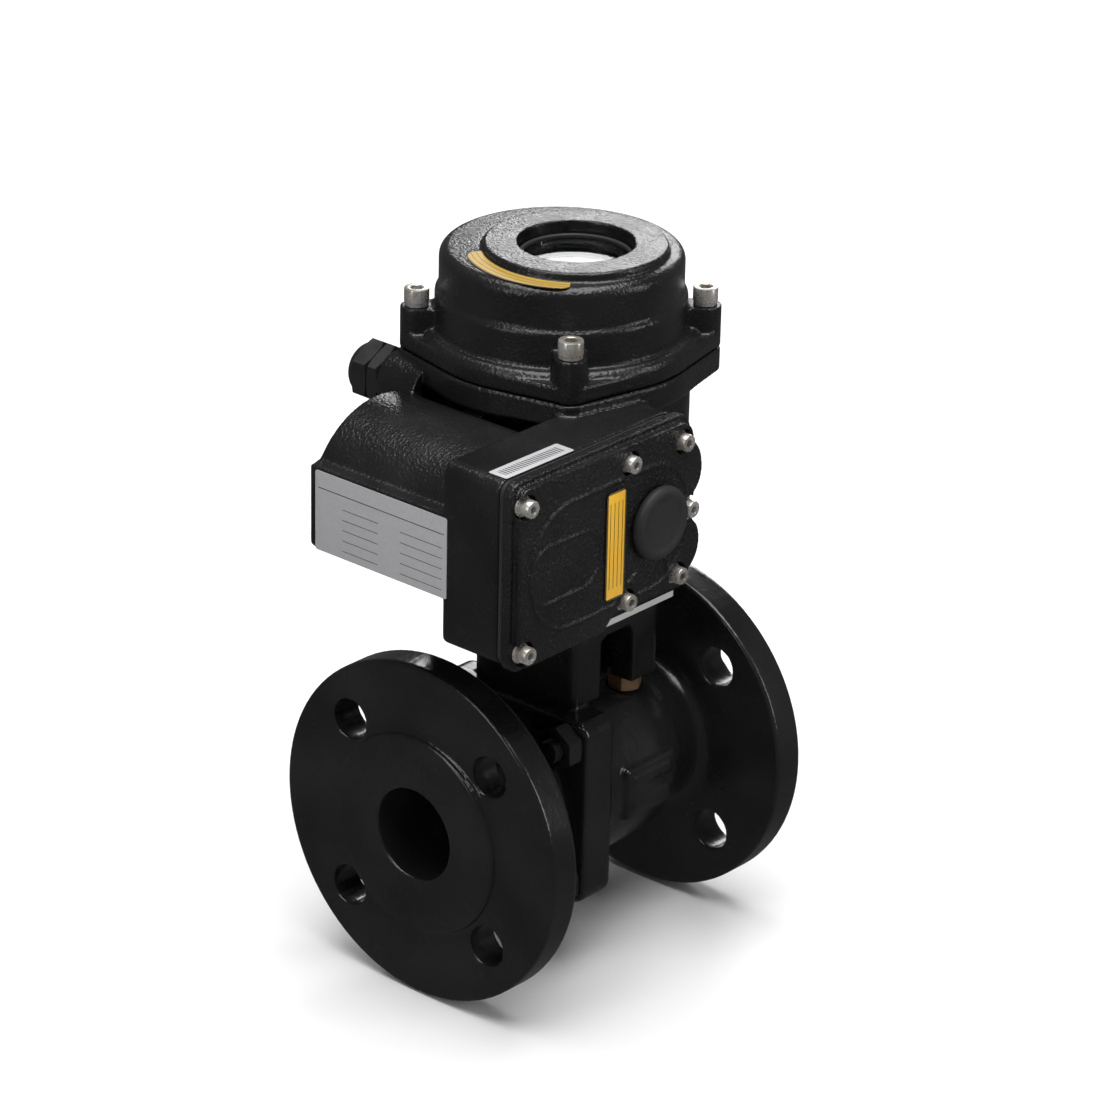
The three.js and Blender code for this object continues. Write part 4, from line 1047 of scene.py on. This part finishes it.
def from_stem(s, axes):
    """Distance from the stem's axis."""
    x = axes["X"]
    y = axes["Y"]
    return s.math("SQRT", s.math("ADD", s.math("MULTIPLY", x, x), s.math("MULTIPLY", y, y)))


def dial_marks(s, axes):
    """Light marks on the dial: a bar along the flow and a thin ring."""
    radius = from_stem(s, axes)
    half = 0.0016
    bar = s.math("MULTIPLY", between(s, axes["Y"], -half, half), s.math("LESS_THAN", radius, 0.0125))
    ring = between(s, radius, 0.0158, 0.0168)
    return s.math("MAXIMUM", bar, ring)


def dial():
    low, high = span("indicator_dial")
    radius = (high.x - low.x) / 2
    under = high.z - 1.4
    profile = [
        (0, under), (radius - 0.3, under), (radius, under + 0.3),
        (radius, high.z - 0.3), (radius - 0.3, high.z), (0, high.z),
    ]
    boss = cut(
        cylinder("Z", 8.4, low.z, under + 0.2, facets=48),
        cylinder("Z", 6.3, low.z - 1, 219.5, facets=48),
    )
    face = ruled_label("dial_face", (0.15, 0.155, 0.155), (0.32, 0.32, 0.32), dial_marks, 0.5)
    shape = join(revolve(profile, facets=96), boss)
    finish_piece(shape, "indicator_dial_printed", "output_train", face, ["indicator_dial"])


# ---------- labels ----------


def nameplate_marks(s, axes):
    """Blank form: a header rule and five rows of underlines in two columns."""
    y = axes["Y"]
    z = axes["Z"]
    stroke = 0.0003
    columns = s.math("MAXIMUM", between(s, y, -0.0345, -0.012), between(s, y, 0, 0.0195))
    rows = None
    for i in range(5):
        low = 0.12915 + 0.0045 * i
        row = between(s, z, low, low + stroke)
        rows = s.math("MAXIMUM", rows, row) if rows else row
    header = s.math("MULTIPLY", between(s, z, 0.1531, 0.1535), between(s, y, -0.0355, 0.033))
    return s.math("MAXIMUM", s.math("MULTIPLY", rows, columns), header)


def bars_marks(s, axes):
    """Plain equal bars along the sticker."""
    x = axes["X"]
    pitch = 0.0016
    wave = s.math("SINE", s.math("MULTIPLY", x, FULL_TURN / pitch))
    inside = s.math("MULTIPLY", between(s, x, -0.1085, -0.0735), between(s, axes["Y"], -0.0606, -0.0556))
    return s.math("MULTIPLY", s.math("GREATER_THAN", wave, 0.1), inside)


def strip_marks(s, axes):
    """A thin edge line and faint rules down the tall sticker."""
    x = axes["X"]
    z = axes["Z"]
    pitch = 0.0024
    field = s.math("MULTIPLY", between(s, x, -0.06325, -0.05325), between(s, z, 0.1198, 0.165))
    rules = s.math(
        "MULTIPLY",
        s.math("GREATER_THAN", s.math("SINE", s.math("MULTIPLY", x, FULL_TURN / pitch)), 0.86),
        s.math("MULTIPLY", between(s, z, 0.124, 0.161), between(s, x, -0.0621, -0.0544)),
    )
    return s.math("MAXIMUM", s.math("SUBTRACT", 1.0, field), rules)


def ring_marks(s, axes):
    """Two curved rules and an edge line on the ring-shaped sticker."""
    radius = from_stem(s, axes)
    rules = s.math("MAXIMUM", between(s, radius, 0.0409, 0.0412), between(s, radius, 0.0431, 0.0434))
    edge = s.math("GREATER_THAN", s.math("ABSOLUTE", s.math("SUBTRACT", radius, 0.0421)), 0.0031)
    return s.math("MAXIMUM", rules, edge)


def labels():
    plate = prism(rounded_rect(-37, 34.6, 125.8, 160.5, 1), "X", CASE_SIDE - 0.4, CASE_SIDE - 0.02)
    face = ruled_label("nameplate", (0.33, 0.33, 0.34), (0.03, 0.03, 0.032), nameplate_marks, 0.36)
    finish_piece(chamfer(plate, 0.08), "nameplate", "frame", face)

    corner = 1.6
    x0 = -64
    x1 = -52.5
    z0 = 119
    z1 = 165.8
    outline = [
        (x0 + corner, z0), (x1 - corner, z0), (x1, z0 + corner), (x1, z1 - corner),
        (x1 - corner, z1), (x0 + corner, z1), (x0, z1 - corner), (x0, z0 + corner),
    ]
    strip = prism(outline, "Y", COVER_FACE - 0.75, COVER_FACE - 0.45)
    face = ruled_label("yellow_strip", (0.78, 0.42, 0.012), (0.09, 0.06, 0.012), strip_marks)
    finish_piece(chamfer(strip, 0.06), "yellow_strip_label", "frame", face)

    top = CASE_TOP - 1
    tag = prism(rounded_rect(-111, -71, -63, -53.4, 0.8), "Z", top + 0.02, top + 0.25)
    face = ruled_label("white_tag", (0.5, 0.5, 0.51), (0.02, 0.02, 0.022), bars_marks)
    finish_piece(chamfer(tag, 0.05), "white_tag_label", "frame", face)

    face = ruled_label("cream_ring", (0.42, 0.27, 0.05), (0.06, 0.04, 0.012), ring_marks)
    finish_piece(ring_sticker(), "ring_label", "frame", face)


def ring_sticker():
    """Part of a ring laid on the dome's top, following its fall. It narrows at both ends."""
    steps = 40
    bands = 4
    start = 141  # degrees from +X
    sweep = 77
    inner = 38.6
    points = []
    faces = []
    for lift in (0.06, 0.3):
        for i in range(steps + 1):
            angle = math.radians(start + sweep * i / steps)
            breadth = 7.4 - 3 * abs(2 * i / steps - 1) ** 10
            for k in range(bands + 1):
                radius = inner + breadth * k / bands
                x = radius * math.cos(angle)
                y = radius * math.sin(angle)
                points.append((x, y, dome_top(math.hypot(x, y - TOWER_Y)) + lift))
    width = bands + 1
    layer = width * (steps + 1)
    for i in range(steps):
        for k in range(bands):
            a = i * width + k
            quad = [a, a + 1, a + 1 + width, a + width]
            faces += [quad, [p + layer for p in quad]]
    rim = [i * width for i in range(steps + 1)]
    rim += [steps * width + k for k in range(1, width)]
    rim += [i * width + bands for i in range(steps - 1, -1, -1)]
    rim += [k for k in range(bands - 1, 0, -1)]
    for a, b in zip(rim, rim[1:] + rim[:1]):
        faces.append([a, b, b + layer, a + layer])
    return new_object(points, faces)


# ---------- inner parts keep their CAD shape ----------

INNER = {
    "body_gasket": RUBBER, "gear_cover_gasket": RUBBER, "top_cover_seal": RUBBER,
    "valve_stem": POLISHED, "stem_packing": PTFE, "gland_nut": DARK_STEEL, "adapter_plate": ALUMINIUM,
    "output_shaft": GEAR_STEEL, "lower_bush": BRONZE, "worm_wheel": BRONZE, "worm_shaft": GEAR_STEEL,
    "worm_bearing_front": GEAR_STEEL, "worm_bearing_rear": GEAR_STEEL, "worm_gear": BRONZE,
    "idler_gear": GEAR_STEEL, "motor_pinion": GEAR_STEEL, "motor": DARK_STEEL, "switch_plate": ALUMINIUM,
    "limit_cam_open": CAM_PLASTIC, "limit_cam_closed": CAM_PLASTIC,
    "limit_switch_open": PLASTIC, "limit_switch_closed": PLASTIC, "terminal_block": BOARD,
}


def dress_inner_parts():
    for name, material in INNER.items():
        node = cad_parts[name]
        node.data.materials.clear()
        node.data.materials.append(material)
        softened = node.modifiers.new("edges", "BEVEL")
        softened.width = 0.0003
        softened.segments = 2
        softened.limit_method = "ANGLE"


# ---------- studio ----------


def softbox(name, centre, aim, width, height, power):
    data = bpy.data.lights.new(name, "AREA")
    data.shape = "RECTANGLE"
    data.size = width
    data.size_y = height
    data.energy = power
    lamp = bpy.data.objects.new(name, data)
    lamp.location = centre
    lamp.rotation_euler = (Vector(aim) - Vector(centre)).to_track_quat("-Z", "Y").to_euler()
    bpy.context.scene.collection.objects.link(lamp)


def studio():
    scene = bpy.context.scene
    world = bpy.data.worlds.new("studio")
    world.use_nodes = True
    background = world.node_tree.nodes["Background"]
    background.inputs["Color"].default_value = (1, 1, 1, 1)
    background.inputs["Strength"].default_value = 0.1
    scene.world = world
    scene.view_settings.view_transform = "Standard"

    s = Surface("pale_floor")
    white = s.blend(s.ranged(s.noise(3, 2), 0, 1), (0.9, 0.9, 0.9), (0.93, 0.93, 0.93))
    s.link(white, s.shader.inputs["Base Color"])
    s.shader.inputs["Roughness"].default_value = 0.9
    half = 6
    floor_z = CAD_BOX[0][2] - 0.0006
    mesh = bpy.data.meshes.new("floor")
    floor_corners = [(x, y, floor_z) for x, y in corners(half)]
    mesh.from_pydata(floor_corners, [], [(0, 1, 2, 3)])
    mesh.materials.append(s.material)
    floor = bpy.data.objects.new("floor", mesh)
    scene.collection.objects.link(floor)
    floor.visible_glossy = False

    softbox("overhead", (-0.2, -0.2, 2.3), (0, 0, 0), 2.2, 2.2, 86)
    softbox("rear_right", (1.9, 1.1, 1.05), (0, 0, 0.2), 1.3, 0.6, 17)
    softbox("front_left", (-2.0, 0.1, 0.9), (0, 0, 0.1), 0.3, 1.3, 7)
    softbox("front_right", (0.9, -1.9, 0.8), (0, 0, 0.1), 0.25, 1.3, 9)


end_cap()
valve_body()
ball_and_seats()
body_fasteners()
base_bolts()
housing()
gear_cover()
cover_screws()
override_cap()
cable_gland()
top_cover()
lid_bolts()
window()
dial()
labels()
dress_inner_parts()
studio()
make_camera()
